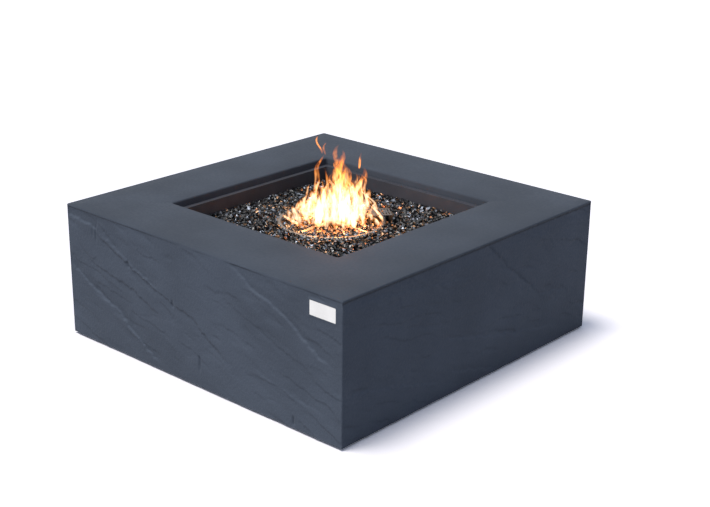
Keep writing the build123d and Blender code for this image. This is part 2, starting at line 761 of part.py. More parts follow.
# ================================================================ fire glass
glass_width = pan_width - 2 * pan_sheet - 2 * glass_side_gap
glass_bottom = pan_floor + seat_gap
ring_groove = ring_tube_radius + glass_clearance
glass_heaps = round(glass_width / glass_heap_pitch)
heap_pitch = glass_width / glass_heaps
heap_bottom = glass_top - glass_heap_height / 2
glass_reach = glass_depth + glass_heap_height
with BuildPart() as fire_glass_bed:
    with BuildSketch(Plane.XY.offset(glass_bottom)):
        RectangleRounded(glass_width, glass_width, pan_corner_radius)
    extrude(amount=heap_bottom - glass_bottom)
    with BuildSketch(Plane.XY.offset(heap_bottom)):
        with GridLocations(heap_pitch, heap_pitch, glass_heaps, glass_heaps):
            Rectangle(heap_pitch - glass_heap_valley, heap_pitch - glass_heap_valley)
    extrude(amount=glass_heap_height, taper=glass_heap_taper)
    with BuildSketch(Plane.XY.offset(ring_centre - ring_groove)):
        Circle(ring_radius + ring_groove)
        Circle(ring_radius - ring_groove, mode=Mode.SUBTRACT)
        Rectangle(2 * ring_radius, 2 * (arm_tube_radius + glass_clearance))
        Rectangle(2 * (arm_tube_radius + glass_clearance), 2 * ring_radius)
    extrude(amount=2 * ring_groove, mode=Mode.SUBTRACT)
    with BuildSketch(Plane.XY.offset(pan_floor)):
        Circle(hub_radius + 2 * glass_clearance)
    extrude(amount=glass_reach, mode=Mode.SUBTRACT)
    with BuildSketch(guard_plane):
        Rectangle(guard_length + 2 * glass_clearance, guard_width + 2 * glass_clearance)
    extrude(amount=glass_reach, mode=Mode.SUBTRACT)
    with BuildSketch(guard_plane):
        Rectangle(guard_length + 2 * guard_foot + 2 * glass_clearance, guard_width + 2 * glass_clearance)
    extrude(amount=guard_sheet + pan_screw_head + glass_clearance, mode=Mode.SUBTRACT)
save(fire_glass_bed, "fire_glass_bed")

# ================================================================ control tray
igniter_x = control_x + control_spacing
inlet_x = control_x - control_spacing
valve_screw_places = [(-valve_screw_spacing / 2, 0), (valve_screw_spacing / 2, 0)]

with BuildPart() as control_tray:
    with BuildSketch(facing_back(control_x, plate_back, control_height)):
        RectangleRounded(tray_outer_width, tray_outer_height, tray_radius + tray_sheet)
    extrude(amount=tray_depth + tray_sheet)
    with BuildSketch(facing_back(control_x, tray_face, control_height)):
        RectangleRounded(flange_outer_width, flange_outer_height, tray_radius + tray_flange)
    extrude(amount=-tray_sheet)
    with BuildSketch(facing_back(control_x, plate_front, control_height)):
        RectangleRounded(tray_width, tray_height, tray_radius)
    extrude(amount=tray_depth, mode=Mode.SUBTRACT)
    with Locations(facing_back(control_x, tray_face, control_height)):
        with Locations(*tray_screw_places):
            Hole(tray_screw_radius + bolt_clearance, depth=tray_sheet)
    with Locations(facing_back(control_x, plate_front, control_height)):
        Hole(stem_radius + bolt_clearance, depth=tray_sheet)
        with Locations(*valve_screw_places):
            Hole(valve_screw_radius + bolt_clearance, depth=tray_sheet)
    with Locations(facing_back(igniter_x, plate_front, control_height)):
        Hole(igniter_radius + bolt_clearance, depth=tray_sheet)
    with Locations(facing_back(inlet_x, plate_front, control_height)):
        Hole(flare_radius + bolt_clearance, depth=tray_sheet)
save(control_tray, "control_tray")

with BuildPart() as tray_screws:
    with BuildSketch(facing_back(control_x, tray_face, control_height)):
        with Locations(*tray_screw_places):
            Circle(tray_screw_head_radius)
    extrude(amount=tray_screw_head)
    with BuildSketch(facing_back(control_x, tray_face, control_height)):
        with Locations(*tray_screw_places):
            Circle(tray_screw_radius)
    extrude(amount=-tray_screw_length)
save(tray_screws, "tray_screws")

# ================================================================ gas valve
bonnet_front = plate_back
bonnet_inside = bonnet_front - bonnet_flange
valve_front = bonnet_inside - bonnet_neck
valve_back = valve_front - valve_length
bonnet_back = valve_front - bonnet_thread
plug_front = bonnet_back - 2 * seat_gap
plug_back = plug_front - plug_length
plug_taper = (plug_large_radius - plug_small_radius) / plug_length
port_y = plug_back + plug_port_from_end
valve_axis = Axis((control_x, 0, control_height), (0, 1, 0))
valve_section = Plane(origin=(control_x, 0, control_height), x_dir=(1, 0, 0), z_dir=(0, 0, 1))

with BuildPart() as valve_bonnet:
    with BuildSketch(facing_back(control_x, bonnet_front, control_height)):
        RectangleRounded(bonnet_width, bonnet_height, tray_radius)
    extrude(amount=-bonnet_flange)
    with BuildSketch(facing_back(control_x, bonnet_inside, control_height)):
        Circle(bonnet_neck_radius)
    extrude(amount=-bonnet_neck)
    with BuildSketch(facing_back(control_x, valve_front, control_height)):
        Circle(bonnet_thread_radius)
    extrude(amount=-bonnet_thread)
    with BuildSketch(facing_back(control_x, bonnet_inside, control_height)):
        Circle(bonnet_bore_radius)
    extrude(amount=-bonnet_neck - bonnet_thread, mode=Mode.SUBTRACT)
    with Locations(facing_back(control_x, bonnet_front, control_height)):
        Hole(stem_radius + running_fit, depth=bonnet_flange)
        with Locations(*valve_screw_places):
            Hole(valve_screw_radius + slip_fit, depth=bonnet_flange)
save(valve_bonnet, "valve_bonnet")

with BuildPart() as valve_screws:
    with BuildSketch(facing_back(control_x, plate_front, control_height)):
        with Locations(*valve_screw_places):
            Circle(valve_screw_head_radius)
    extrude(amount=valve_screw_head)
    with BuildSketch(facing_back(control_x, plate_front, control_height)):
        with Locations(*valve_screw_places):
            Circle(valve_screw_radius)
    extrude(amount=-tray_sheet - bonnet_flange)
save(valve_screws, "valve_screws")

outlet_tip = valve_back - flare_length
inlet_port_tip = control_x - valve_width / 2 - flare_length
magnet_y = valve_back + magnet_from_back
valve_underside = control_height - valve_width / 2
magnet_plane = Plane(origin=(control_x, magnet_y, valve_underside), x_dir=(1, 0, 0), z_dir=(0, 0, -1))

with BuildPart() as valve_body:
    with BuildSketch(facing_back(control_x, valve_front, control_height)):
        Rectangle(valve_width, valve_width)
    extrude(amount=-valve_length)
    with BuildSketch(facing_back(control_x, valve_back, control_height)):
        Circle(flare_radius)
    extrude(amount=-flare_length)
    chamfer(valve_body.faces().sort_by(Axis.Y)[0].edges(), flare_nose)
    with BuildSketch(Plane(origin=(control_x - valve_width / 2, port_y, control_height), z_dir=(-1, 0, 0))):
        Circle(flare_radius)
    extrude(amount=flare_length)
    chamfer(valve_body.faces().sort_by(Axis.X)[0].edges(), flare_nose)
    # Seat for the bonnet, taper bore for the plug, gas ways and the magnet unit's socket
    with BuildSketch(facing_back(control_x, valve_front, control_height)):
        Circle(bonnet_thread_radius + slip_fit)
    extrude(amount=-bonnet_thread - seat_gap, mode=Mode.SUBTRACT)
    with BuildSketch(valve_section):
        with BuildLine():
            Polyline(
                (0, plug_front + seat_gap),
                (plug_large_radius + plug_taper * seat_gap, plug_front + seat_gap),
                (plug_small_radius - plug_taper * seat_gap, plug_back - seat_gap),
                (0, plug_back - seat_gap),
                close=True,
            )
        make_face()
    revolve(axis=valve_axis, mode=Mode.SUBTRACT)
    with BuildSketch(facing_back(control_x, plug_back, control_height)):
        Circle(flare_bore_radius)
    extrude(amount=outlet_tip - plug_back, mode=Mode.SUBTRACT)
    with BuildSketch(Plane(origin=(control_x, port_y, control_height), z_dir=(-1, 0, 0))):
        Circle(plug_port_radius)
    extrude(amount=control_x - inlet_port_tip, mode=Mode.SUBTRACT)
    with BuildSketch(magnet_plane):
        Circle(magnet_thread_radius + slip_fit)
    extrude(amount=-magnet_thread, mode=Mode.SUBTRACT)
save(valve_body, "valve_body")

with BuildPart() as valve_plug:
    with BuildSketch(valve_section):
        with BuildLine():
            Polyline(
                (0, plug_front),
                (plug_large_radius - running_fit, plug_front),
                (plug_small_radius - running_fit, plug_back),
                (0, plug_back),
                close=True,
            )
        make_face()
    revolve(axis=valve_axis)
    with BuildSketch(facing_back(control_x, plug_front, control_height)):
        Rectangle(tang_width + 2 * tang_clearance, tang_thickness + 2 * tang_clearance)
    extrude(amount=-tang_length, mode=Mode.SUBTRACT)
    with BuildSketch(facing_back(control_x, plug_back, control_height)):
        Circle(plug_bore_radius)
    extrude(amount=2 * plug_port_from_end, mode=Mode.SUBTRACT)
    with BuildSketch(Plane(origin=(control_x, port_y, control_height), z_dir=(0, 0, -1))):
        Circle(plug_port_radius)
    extrude(amount=plug_large_radius, mode=Mode.SUBTRACT)
save(valve_plug, "valve_plug")

collar_front = bonnet_inside - seat_gap
stem_shoulder = plug_front + push_travel + 2 * seat_gap
knob_back = plate_front + knob_gap
knob_front = knob_back + knob_length
stem_tip = knob_back + knob_bore_depth - seat_gap
stem_flat_plane = Plane(origin=(control_x, knob_back, control_height + stem_radius - stem_flat))

with BuildPart() as valve_stem:
    with BuildSketch(facing_back(control_x, stem_shoulder, control_height)):
        Circle(stem_radius)
    extrude(amount=stem_tip - stem_shoulder)
    with BuildSketch(facing_back(control_x, collar_front, control_height)):
        Circle(stem_collar_radius)
    extrude(amount=-stem_collar)
    with BuildSketch(facing_back(control_x, stem_shoulder, control_height)):
        Rectangle(tang_width, tang_thickness)
    extrude(amount=-tang_length)
    with BuildSketch(stem_flat_plane):
        with Locations((0, knob_length / 2)):
            Rectangle(2 * stem_radius, knob_length)
    extrude(amount=stem_radius, mode=Mode.SUBTRACT)
save(valve_stem, "valve_stem")

stem_spring_start = plug_front + seat_gap + stem_spring_wire / 2
stem_spring_end = collar_front - stem_collar - seat_gap - stem_spring_wire / 2
stem_spring_length = stem_spring_end - stem_spring_start
with BuildPart() as stem_spring:
    with BuildLine() as stem_coil:
        Helix(
            stem_spring_length / stem_spring_turns,
            stem_spring_length,
            stem_spring_radius,
            center=(control_x, stem_spring_start, control_height),
            direction=(0, 1, 0),
        )
    with BuildSketch(Plane(stem_coil.line @ 0, z_dir=stem_coil.line % 0)):
        Rectangle(stem_spring_wire, stem_spring_wire)
    sweep(path=stem_coil.line, is_frenet=True)
save(stem_spring, "stem_spring")

with BuildPart() as control_knob:
    with BuildSketch(facing_back(control_x, knob_back, control_height)):
        Circle(knob_grip_radius)
        with PolarLocations(knob_flute_centre, knob_flute_count, start_angle=180 / knob_flute_count):
            Circle(knob_flute_radius, mode=Mode.SUBTRACT)
    extrude(amount=knob_length)
    chamfer(control_knob.faces().sort_by(Axis.Y)[-1].edges(), knob_chamfer)
    with BuildSketch(facing_back(control_x, knob_back, control_height)):
        Circle(knob_radius)
    extrude(amount=knob_skirt, taper=knob_skirt_taper)
    with BuildSketch(facing_back(control_x, knob_front, control_height)):
        with Locations((0, knob_grip_radius / 2)):
            Rectangle(knob_mark_width, knob_grip_radius / 2)
    extrude(amount=-knob_mark_depth, mode=Mode.SUBTRACT)
    with BuildSketch(facing_back(control_x, knob_back, control_height)):
        Circle(stem_radius + slip_fit)
        with Locations((0, 2 * stem_radius - stem_flat + slip_fit)):
            Rectangle(3 * stem_radius, 2 * stem_radius, mode=Mode.SUBTRACT)
    extrude(amount=knob_bore_depth, mode=Mode.SUBTRACT)
save(control_knob, "control_knob")

with BuildPart() as magnet_unit:
    with BuildSketch(magnet_plane):
        Circle(magnet_thread_radius)
    extrude(amount=-magnet_thread + seat_gap)
    with BuildSketch(magnet_plane):
        RegularPolygon(magnet_flats / 2, 6, major_radius=False)
    extrude(amount=magnet_flange)
    with BuildSketch(magnet_plane):
        Circle(magnet_radius)
    extrude(amount=magnet_flange + magnet_length)
save(magnet_unit, "magnet_unit")

probe_nut_plane = magnet_plane.offset(magnet_flange + magnet_length)
with BuildPart() as thermocouple_nut:
    with BuildSketch(probe_nut_plane):
        RegularPolygon(probe_nut_flats / 2, 6, major_radius=False)
    extrude(amount=probe_nut_length)
    with BuildSketch(probe_nut_plane.offset(probe_nut_length)):
        Circle(thermocouple_lead_radius + slip_fit)
    extrude(amount=-probe_nut_entry, mode=Mode.SUBTRACT)
save(thermocouple_nut, "thermocouple_nut")

# ================================================================ igniter
igniter_back = plate_front - igniter_length
bezel_back = plate_front + igniter_flange - bezel_depth
button_flange_front = bezel_back - seat_gap
button_back = button_flange_front - button_flange
spring_back = button_back - seat_gap - button_spring_length
battery_front = spring_back - seat_gap
battery_shoulder = battery_front - battery_nub
battery_back = battery_shoulder - battery_length

with BuildPart() as igniter_body:
    with BuildSketch(facing_back(igniter_x, igniter_back, control_height)):
        Circle(igniter_radius)
    extrude(amount=igniter_length + igniter_flange)
    with BuildSketch(facing_back(igniter_x, plate_front, control_height)):
        Circle(igniter_flange_radius)
    extrude(amount=igniter_flange)
    with BuildSketch(facing_back(igniter_x, igniter_back, control_height)):
        Circle(igniter_terminal_radius)
    extrude(amount=-igniter_terminal)
    with BuildSketch(facing_back(igniter_x, battery_back - seat_gap, control_height)):
        Circle(igniter_bore_radius)
    extrude(amount=plate_front + igniter_flange - battery_back + seat_gap, mode=Mode.SUBTRACT)
    with BuildSketch(facing_back(igniter_x, spring_back, control_height)):
        Circle(igniter_mouth_radius)
    extrude(amount=plate_front + igniter_flange - spring_back, mode=Mode.SUBTRACT)
save(igniter_body, "igniter_body")

with BuildPart() as igniter_bezel:
    with BuildSketch(facing_back(igniter_x, bezel_back, control_height)):
        Circle(igniter_mouth_radius - slip_fit)
        Circle(button_radius + button_gap, mode=Mode.SUBTRACT)
    extrude(amount=bezel_depth)
save(igniter_bezel, "igniter_bezel")

with BuildPart() as igniter_nut:
    with BuildSketch(facing_back(igniter_x, plate_back, control_height)):
        RegularPolygon(igniter_nut_flats / 2, 6, major_radius=False)
        Circle(igniter_radius + slip_fit, mode=Mode.SUBTRACT)
    extrude(amount=-igniter_nut_height)
save(igniter_nut, "igniter_nut")

with BuildPart() as igniter_button:
    with BuildSketch(facing_back(igniter_x, button_back, control_height)):
        Circle(button_flange_radius)
    extrude(amount=button_flange)
    with BuildSketch(facing_back(igniter_x, button_back, control_height)):
        Circle(button_radius)
    extrude(amount=plate_front + button_height - button_back)
    fillet(igniter_button.faces().sort_by(Axis.Y)[-1].edges(), button_radius / 6)
save(igniter_button, "igniter_button")

button_coil_length = button_spring_length - button_spring_wire
with BuildPart() as button_spring:
    with BuildLine() as button_coil:
        Helix(
            button_coil_length / button_spring_turns,
            button_coil_length,
            button_spring_radius,
            center=(igniter_x, spring_back + button_spring_wire / 2, control_height),
            direction=(0, 1, 0),
        )
    with BuildSketch(Plane(button_coil.line @ 0, z_dir=button_coil.line % 0)):
        Rectangle(button_spring_wire, button_spring_wire)
    sweep(path=button_coil.line, is_frenet=True)
save(button_spring, "button_spring")

with BuildPart() as igniter_battery:
    with BuildSketch(facing_back(igniter_x, battery_back, control_height)):
        Circle(battery_radius)
    extrude(amount=battery_length)
    with BuildSketch(facing_back(igniter_x, battery_shoulder, control_height)):
        Circle(battery_nub_radius)
    extrude(amount=battery_nub)
save(igniter_battery, "igniter_battery")

# ================================================================ gas inlet
inlet_tip = plate_front + inlet_hex + inlet_flare_length
inlet_rear_tip = plate_back - inlet_rear
with BuildPart() as inlet_fitting:
    with BuildSketch(facing_back(inlet_x, inlet_rear_tip, control_height)):
        Circle(flare_radius)
    extrude(amount=inlet_tip - inlet_rear_tip)
    chamfer(inlet_fitting.faces().sort_by(Axis.Y)[-1].edges(), flare_nose)
    chamfer(inlet_fitting.faces().sort_by(Axis.Y)[0].edges(), flare_nose)
    with BuildSketch(facing_back(inlet_x, plate_front, control_height)):
        RegularPolygon(inlet_hex_flats / 2, 6, major_radius=False)
    extrude(amount=inlet_hex)
    with BuildSketch(facing_back(inlet_x, inlet_rear_tip, control_height)):
        Circle(flare_bore_radius)
    extrude(amount=inlet_tip - inlet_rear_tip, mode=Mode.SUBTRACT)
save(inlet_fitting, "inlet_fitting")

with BuildPart() as inlet_nut:
    with BuildSketch(facing_back(inlet_x, plate_back, control_height)):
        RegularPolygon(inlet_hex_flats / 2, 6, major_radius=False)
        Circle(flare_radius + slip_fit, mode=Mode.SUBTRACT)
    extrude(amount=-inlet_nut_height)
save(inlet_nut, "inlet_nut")

inlet_tube_start = (inlet_x, inlet_rear_tip - seat_gap, control_height)
inlet_tube_end = (inlet_port_tip - seat_gap, port_y, control_height)
with BuildPart() as inlet_tube:
    with BuildLine() as inlet_path:
        FilletPolyline(
            inlet_tube_start, (inlet_x, port_y, control_height), inlet_tube_end, radius=inlet_bend_radius
        )
    with BuildSketch(Plane(inlet_tube_start, z_dir=(0, -1, 0))):
        Circle(inlet_tube_radius)
        Circle(inlet_tube_radius - 1, mode=Mode.SUBTRACT)
    sweep(path=inlet_path.line)
save(inlet_tube, "inlet_tube")

tube_nut_planes = (
    Plane((inlet_x, inlet_rear_tip + flare_engaged / 2, control_height), z_dir=(0, -1, 0)),
    Plane((inlet_port_tip + flare_engaged / 2, port_y, control_height), z_dir=(-1, 0, 0)),
)
with BuildPart() as inlet_tube_nuts:
    for nut_plane in tube_nut_planes:
        with BuildSketch(nut_plane):
            RegularPolygon(flare_nut_flats / 2, 6, major_radius=False)
        extrude(amount=inlet_tube_nut_length)
        with BuildSketch(nut_plane):
            Circle(flare_radius + slip_fit)
        extrude(amount=flare_engaged / 2 + seat_gap, mode=Mode.SUBTRACT)
        with BuildSketch(nut_plane):
            Circle(inlet_tube_radius + slip_fit)
        extrude(amount=inlet_tube_nut_length, mode=Mode.SUBTRACT)
save(inlet_tube_nuts, "inlet_tube_nuts")

# ================================================================ burner hose
hose_start = (0, jet_holder_tip + seat_gap, elbow_centre)
hose_end = (control_x, outlet_tip - seat_gap, control_height)


def tangent_radii(route):
    """Largest sensible arc at each corner of a route: 0.45 of the shorter run beside it."""
    points = [Vector(*point) for point in route]
    radii = []
    for before, corner, after in zip(points, points[1:], points[2:]):
        shorter = min((corner - before).length, (after - corner).length)
        turn = (corner - before).get_angle(after - corner)
        radii.append(0.45 * shorter / tan(radians(turn / 2)))
    return radii


def report_route(name, path, route, radius):
    """Print a routed piece's length, its plain volume and the radius of each bend."""
    length = sum(edge.length for edge in path.edges())
    bends = [round(bend) for bend in tangent_radii(route)]
    print(f"{name}: length {length:.0f}, volume {length * pi * radius**2:.0f}, bends {bends}")


hose_route = [
    hose_start,
    (0, hose_start[1] + 48, elbow_centre),
    (-35, hose_start[1] + 98, elbow_centre - 12),
    (-98, hose_start[1] + 138, elbow_centre - 18),
    (-152, hose_start[1] + 172, elbow_centre - 4),
    (control_x, hose_end[1] - 40, control_height),
    hose_end,
]
with BuildPart() as burner_hose:
    with BuildLine() as hose_path:
        FilletPolyline(*hose_route, radius=tangent_radii(hose_route))
    with BuildSketch(Plane(hose_start, z_dir=(0, 1, 0))):
        Circle(hose_radius)
    sweep(path=hose_path.line)
save(burner_hose, "burner_hose")
report_route("burner_hose", hose_path, hose_route, hose_radius)

hose_nut_planes = (
    Plane((0, jet_holder_tip - flare_engaged, elbow_centre), z_dir=(0, 1, 0)),
    Plane((control_x, outlet_tip + flare_engaged, control_height), z_dir=(0, -1, 0)),
)
with BuildPart() as hose_nuts:
    for nut_plane in hose_nut_planes:
        with BuildSketch(nut_plane):
            RegularPolygon(flare_nut_flats / 2, 6, major_radius=False)
        extrude(amount=flare_nut_length)
        with BuildSketch(nut_plane):
            Circle(flare_radius + slip_fit)
        extrude(amount=flare_engaged + seat_gap, mode=Mode.SUBTRACT)
        with BuildSketch(nut_plane):
            Circle(hose_radius + slip_fit)
        extrude(amount=flare_nut_length, mode=Mode.SUBTRACT)
save(hose_nuts, "hose_nuts")

# ================================================================ leads
electrode_foot = guard_plane.from_local_coords((*electrode_place, -insulator_below_floor - electrode_below))
thermocouple_foot = guard_plane.from_local_coords((*thermocouple_place, -thermocouple_below_floor))
igniter_terminal_tip = (igniter_x, igniter_back - igniter_terminal, control_height)
probe_nut_tip = (
    control_x,
    magnet_y,
    valve_underside - magnet_flange - magnet_length - probe_nut_length + probe_nut_entry,
)
ignition_route = [
    (electrode_foot.X, electrode_foot.Y, electrode_foot.Z),
    (electrode_foot.X, electrode_foot.Y, electrode_foot.Z - 24),
    (74, 122, 196),
    (56, 176, 176),
    (20, 226, 166),
    (-24, 270, 168),
    (-62, 312, 180),
    (igniter_x, igniter_terminal_tip[1] - 34, control_height),
    igniter_terminal_tip,
]
thermocouple_route = [
    (thermocouple_foot.X, thermocouple_foot.Y, thermocouple_foot.Z),
    (thermocouple_foot.X, thermocouple_foot.Y, thermocouple_foot.Z - 26),
    (52, 132, 200),
    (34, 176, 170),
    (0, 216, 146),
    (-42, 254, 130),
    (-84, 292, 120),
    (-122, 332, 110),
    (-156, 372, 98),
    (-176, 402, 100),
    (control_x, magnet_y, 124),
    probe_nut_tip,
]
for lead_name, route, lead_radius in (
    ("ignition_lead", ignition_route, ignition_lead_radius),
    ("thermocouple_lead", thermocouple_route, thermocouple_lead_radius),
):
    with BuildPart() as lead:
        with BuildLine() as lead_path:
            FilletPolyline(*route, radius=tangent_radii(route))
        with BuildSketch(Plane(route[0], z_dir=(0, 0, -1))):
            Circle(lead_radius)
        sweep(path=lead_path.line)
    save(lead, lead_name)
    report_route(lead_name, lead_path, route, lead_radius)
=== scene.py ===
# %% [markdown]
# # A square gas fire pit
#
# A low square body of cast concrete with slate-like sides, a steel pan dropped into its deck, a ring
# burner in a bed of crushed glass, and a control tray let into the back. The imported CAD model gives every
# size and place. This notebook dresses it: it adds the parts whose looks need a finer mesh than the CAD
# solids have, gives every part a material made of nodes, and sets up light, floor and camera.

import json
import math

import bmesh
import bpy
import numpy as np
from mathutils import Matrix, Vector


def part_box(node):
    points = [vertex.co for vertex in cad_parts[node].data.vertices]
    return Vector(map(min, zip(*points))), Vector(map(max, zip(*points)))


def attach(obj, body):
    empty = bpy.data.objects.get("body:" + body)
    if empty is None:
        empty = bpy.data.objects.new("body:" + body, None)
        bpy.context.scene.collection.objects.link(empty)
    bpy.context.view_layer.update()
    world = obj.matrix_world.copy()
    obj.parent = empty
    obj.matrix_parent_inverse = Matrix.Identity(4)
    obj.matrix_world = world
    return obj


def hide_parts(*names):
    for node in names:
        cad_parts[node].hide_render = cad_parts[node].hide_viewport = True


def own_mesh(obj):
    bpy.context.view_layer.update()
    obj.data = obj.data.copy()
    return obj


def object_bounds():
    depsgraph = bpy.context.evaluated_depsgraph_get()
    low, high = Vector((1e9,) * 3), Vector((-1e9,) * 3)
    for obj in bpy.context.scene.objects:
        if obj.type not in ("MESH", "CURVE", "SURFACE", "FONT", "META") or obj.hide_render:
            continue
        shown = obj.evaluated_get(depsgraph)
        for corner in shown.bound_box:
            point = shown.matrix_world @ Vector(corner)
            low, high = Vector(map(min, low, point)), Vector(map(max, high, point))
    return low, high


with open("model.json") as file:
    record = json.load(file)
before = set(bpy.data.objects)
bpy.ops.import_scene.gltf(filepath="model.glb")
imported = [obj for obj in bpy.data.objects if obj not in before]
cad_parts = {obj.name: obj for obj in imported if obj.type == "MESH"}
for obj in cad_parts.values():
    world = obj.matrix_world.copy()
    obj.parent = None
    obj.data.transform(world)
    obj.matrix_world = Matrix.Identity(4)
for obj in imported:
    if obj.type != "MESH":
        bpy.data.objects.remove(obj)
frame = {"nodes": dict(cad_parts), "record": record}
cad_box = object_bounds()
cad_nodes = frame["nodes"]
MM = 0.001
print(len(cad_nodes), "CAD nodes, box in mm", [[round(v / MM) for v in corner] for corner in cad_box])

# %% [markdown]
# ## Camera
#
# The object is seen from a standing person's height, about forty degrees round from its front face. The
# camera is built from its distance and two angles round the body, and a small roll turns it about its own
# axis. Blender's camera looks down its own -Z axis, so the three axes go straight into its matrix.

# %% Where the camera stands
IMAGE_WIDTH = 710
SENSOR_WIDTH = 36.0
focal_px = 1380.2
camera_azimuth = math.radians(41.84)
camera_elevation = math.radians(20.21)
camera_roll = math.radians(0.69)
camera_distance = 3.940
camera_target = Vector((-0.0255, 0.1264, 0.190))

towards_camera = Vector(
    (
        math.sin(camera_azimuth) * math.cos(camera_elevation),
        -math.cos(camera_azimuth) * math.cos(camera_elevation),
        math.sin(camera_elevation),
    )
)
level_right = Vector((0, 0, 1)).cross(towards_camera).normalized()
level_up = towards_camera.cross(level_right)
camera_right = level_right * math.cos(camera_roll) + level_up * math.sin(camera_roll)
camera_up = level_up * math.cos(camera_roll) - level_right * math.sin(camera_roll)
print("towards the camera:", [round(v, 3) for v in towards_camera])

# %% The camera itself
camera_data = bpy.data.cameras.new("camera")
camera_data.lens = focal_px / IMAGE_WIDTH * SENSOR_WIDTH
camera_data.sensor_width = SENSOR_WIDTH
camera_data.sensor_fit = "HORIZONTAL"
camera = bpy.data.objects.new("camera", camera_data)
turn = Matrix((camera_right, camera_up, towards_camera)).transposed().to_4x4()
camera.matrix_world = Matrix.Translation(camera_target + towards_camera * camera_distance) @ turn
bpy.context.scene.collection.objects.link(camera)
bpy.context.scene.camera = camera
print("lens", round(camera_data.lens, 1), "mm, camera at", [round(v, 2) for v in camera.location])

# %% [markdown]
# ## Small helpers for nodes
#
# Every finish below is a tree of shader nodes. A few helpers keep that short: one adds a node, one joins
# two sockets or sets a number, and one each makes the Math, Mix, Map Range and Noise nodes that come back
# everywhere. The last two start a node group with named sockets and place it. A group is the right tool
# for an effect that many finishes share, because it is built once and then placed in each material with
# other numbers.

# %% Node helpers
scene = bpy.context.scene
scene.view_settings.view_transform = "Standard"


def add_node(tree, kind, **settings):
    """Add a node and set its properties."""
    made = tree.nodes.new(kind)
    for name, value in settings.items():
        setattr(made, name, value)
    return made


def feed(tree, source, target):
    """Join a socket, or set a plain number or colour, on an input."""
    if isinstance(source, bpy.types.NodeSocket):
        tree.links.new(source, target)
    else:
        target.default_value = source


def math_node(tree, operation, *values, clamp=False):
    """One Math node, with its result returned."""
    made = add_node(tree, "ShaderNodeMath", operation=operation, use_clamp=clamp)
    for value, socket in zip(values, made.inputs):
        feed(tree, value, socket)
    return made.outputs[0]


def times(tree, first, second):
    """The product of two values."""
    return math_node(tree, "MULTIPLY", first, second)


def mix_colour(tree, amount, first, second):
    """One colour Mix node, with its result returned."""
    made = add_node(tree, "ShaderNodeMix", data_type="RGBA")
    feed(tree, amount, made.inputs[0])
    feed(tree, first, made.inputs[6])
    feed(tree, second, made.inputs[7])
    return made.outputs[2]


def remap(tree, value, low, high, to_low=0.0, to_high=1.0, smooth=True):
    """Map a range of a value to another range, eased at both ends."""
    made = add_node(tree, "ShaderNodeMapRange")
    made.interpolation_type = "SMOOTHSTEP" if smooth else "LINEAR"
    for socket, number in zip(made.inputs[:5], (value, low, high, to_low, to_high)):
        feed(tree, number, socket)
    return made.outputs[0]


print("colours are shown as", scene.view_settings.view_transform)

# %% Texture helpers


def object_place(tree):
    """The place on a piece, in metres from the origin, which moves along with the piece."""
    return add_node(tree, "ShaderNodeTexCoord").outputs["Object"]


def stretched(tree, place, stretch):
    """A place with each axis multiplied by its own number."""
    made = add_node(tree, "ShaderNodeVectorMath", operation="MULTIPLY")
    feed(tree, place, made.inputs[0])
    feed(tree, stretch, made.inputs[1])
    return made.outputs[0]


def noise_value(tree, place, scale, detail=2.0):
    """One Noise node, with its value returned."""
    made = add_node(tree, "ShaderNodeTexNoise")
    for label, value in (("Vector", place), ("Scale", scale), ("Detail", detail)):
        feed(tree, value, made.inputs[label])
    return made.outputs[0]


def parts_of(tree, vector):
    """The X, Y and Z of a vector."""
    made = add_node(tree, "ShaderNodeSeparateXYZ")
    feed(tree, vector, made.inputs[0])
    return made.outputs


# %% Node group helpers


def new_group(name, inputs, outputs):
    """Start a node group with named sockets."""
    group = bpy.data.node_groups.new(name, "ShaderNodeTree")
    for label, default in inputs.items():
        kind = "NodeSocketFloat" if isinstance(default, float) else "NodeSocketVector"
        socket = group.interface.new_socket(label, in_out="INPUT", socket_type=kind)
        socket.default_value = default
    for label in outputs:
        group.interface.new_socket(label, in_out="OUTPUT", socket_type="NodeSocketFloat")
    return group, add_node(group, "NodeGroupInput").outputs, add_node(group, "NodeGroupOutput").inputs


def place_group(tree, group, **values):
    """Put a group into a material and set its inputs by name."""
    made = add_node(tree, "ShaderNodeGroup", node_tree=group)
    for label, value in values.items():
        feed(tree, value, made.inputs[label.replace("_", " ")])
    return made.outputs


# %% [markdown]
# ## Shared effects
#
# Four effects come back in most finishes. *Mottle* is the slow change of tone and the fine grain that any
# cast, coated or rolled surface has. *Brushing* is noise stretched along one axis, as a belt leaves it on
# steel. *Near edges* compares the surface normal with one that the Bevel node has rounded: they differ
# only near a corner, which is where coating wears and dust collects, and where the concrete's rounded
# arrises get a painted highlight. *Speckle* makes sparse small spots.

# %% Mottle group
mottle, given, made = new_group(
    "mottle", {"Broad Scale": 4.0, "Fine Scale": 90.0}, ["Broad", "Fine", "Height"]
)
place = object_place(mottle)
broad = remap(mottle, noise_value(mottle, place, given["Broad Scale"], 4.0), 0.3, 0.7)
fine = remap(mottle, noise_value(mottle, place, given["Fine Scale"], 3.0), 0.3, 0.7)
feed(mottle, broad, made["Broad"])
feed(mottle, fine, made["Fine"])
fine_part = times(mottle, fine, 0.6)
feed(mottle, math_node(mottle, "MULTIPLY_ADD", broad, 0.4, fine_part), made["Height"])
print("mottle:", len(mottle.nodes), "nodes")

# %% Brushing group
brushing, given, made = new_group("brushing", {"Stretch": (400.0, 400.0, 8.0)}, ["Streak"])
streak = noise_value(brushing, stretched(brushing, object_place(brushing), given["Stretch"]), 1.0, 3.0)
feed(brushing, remap(brushing, streak, 0.25, 0.75), made["Streak"])
print("brushing:", len(brushing.nodes), "nodes")
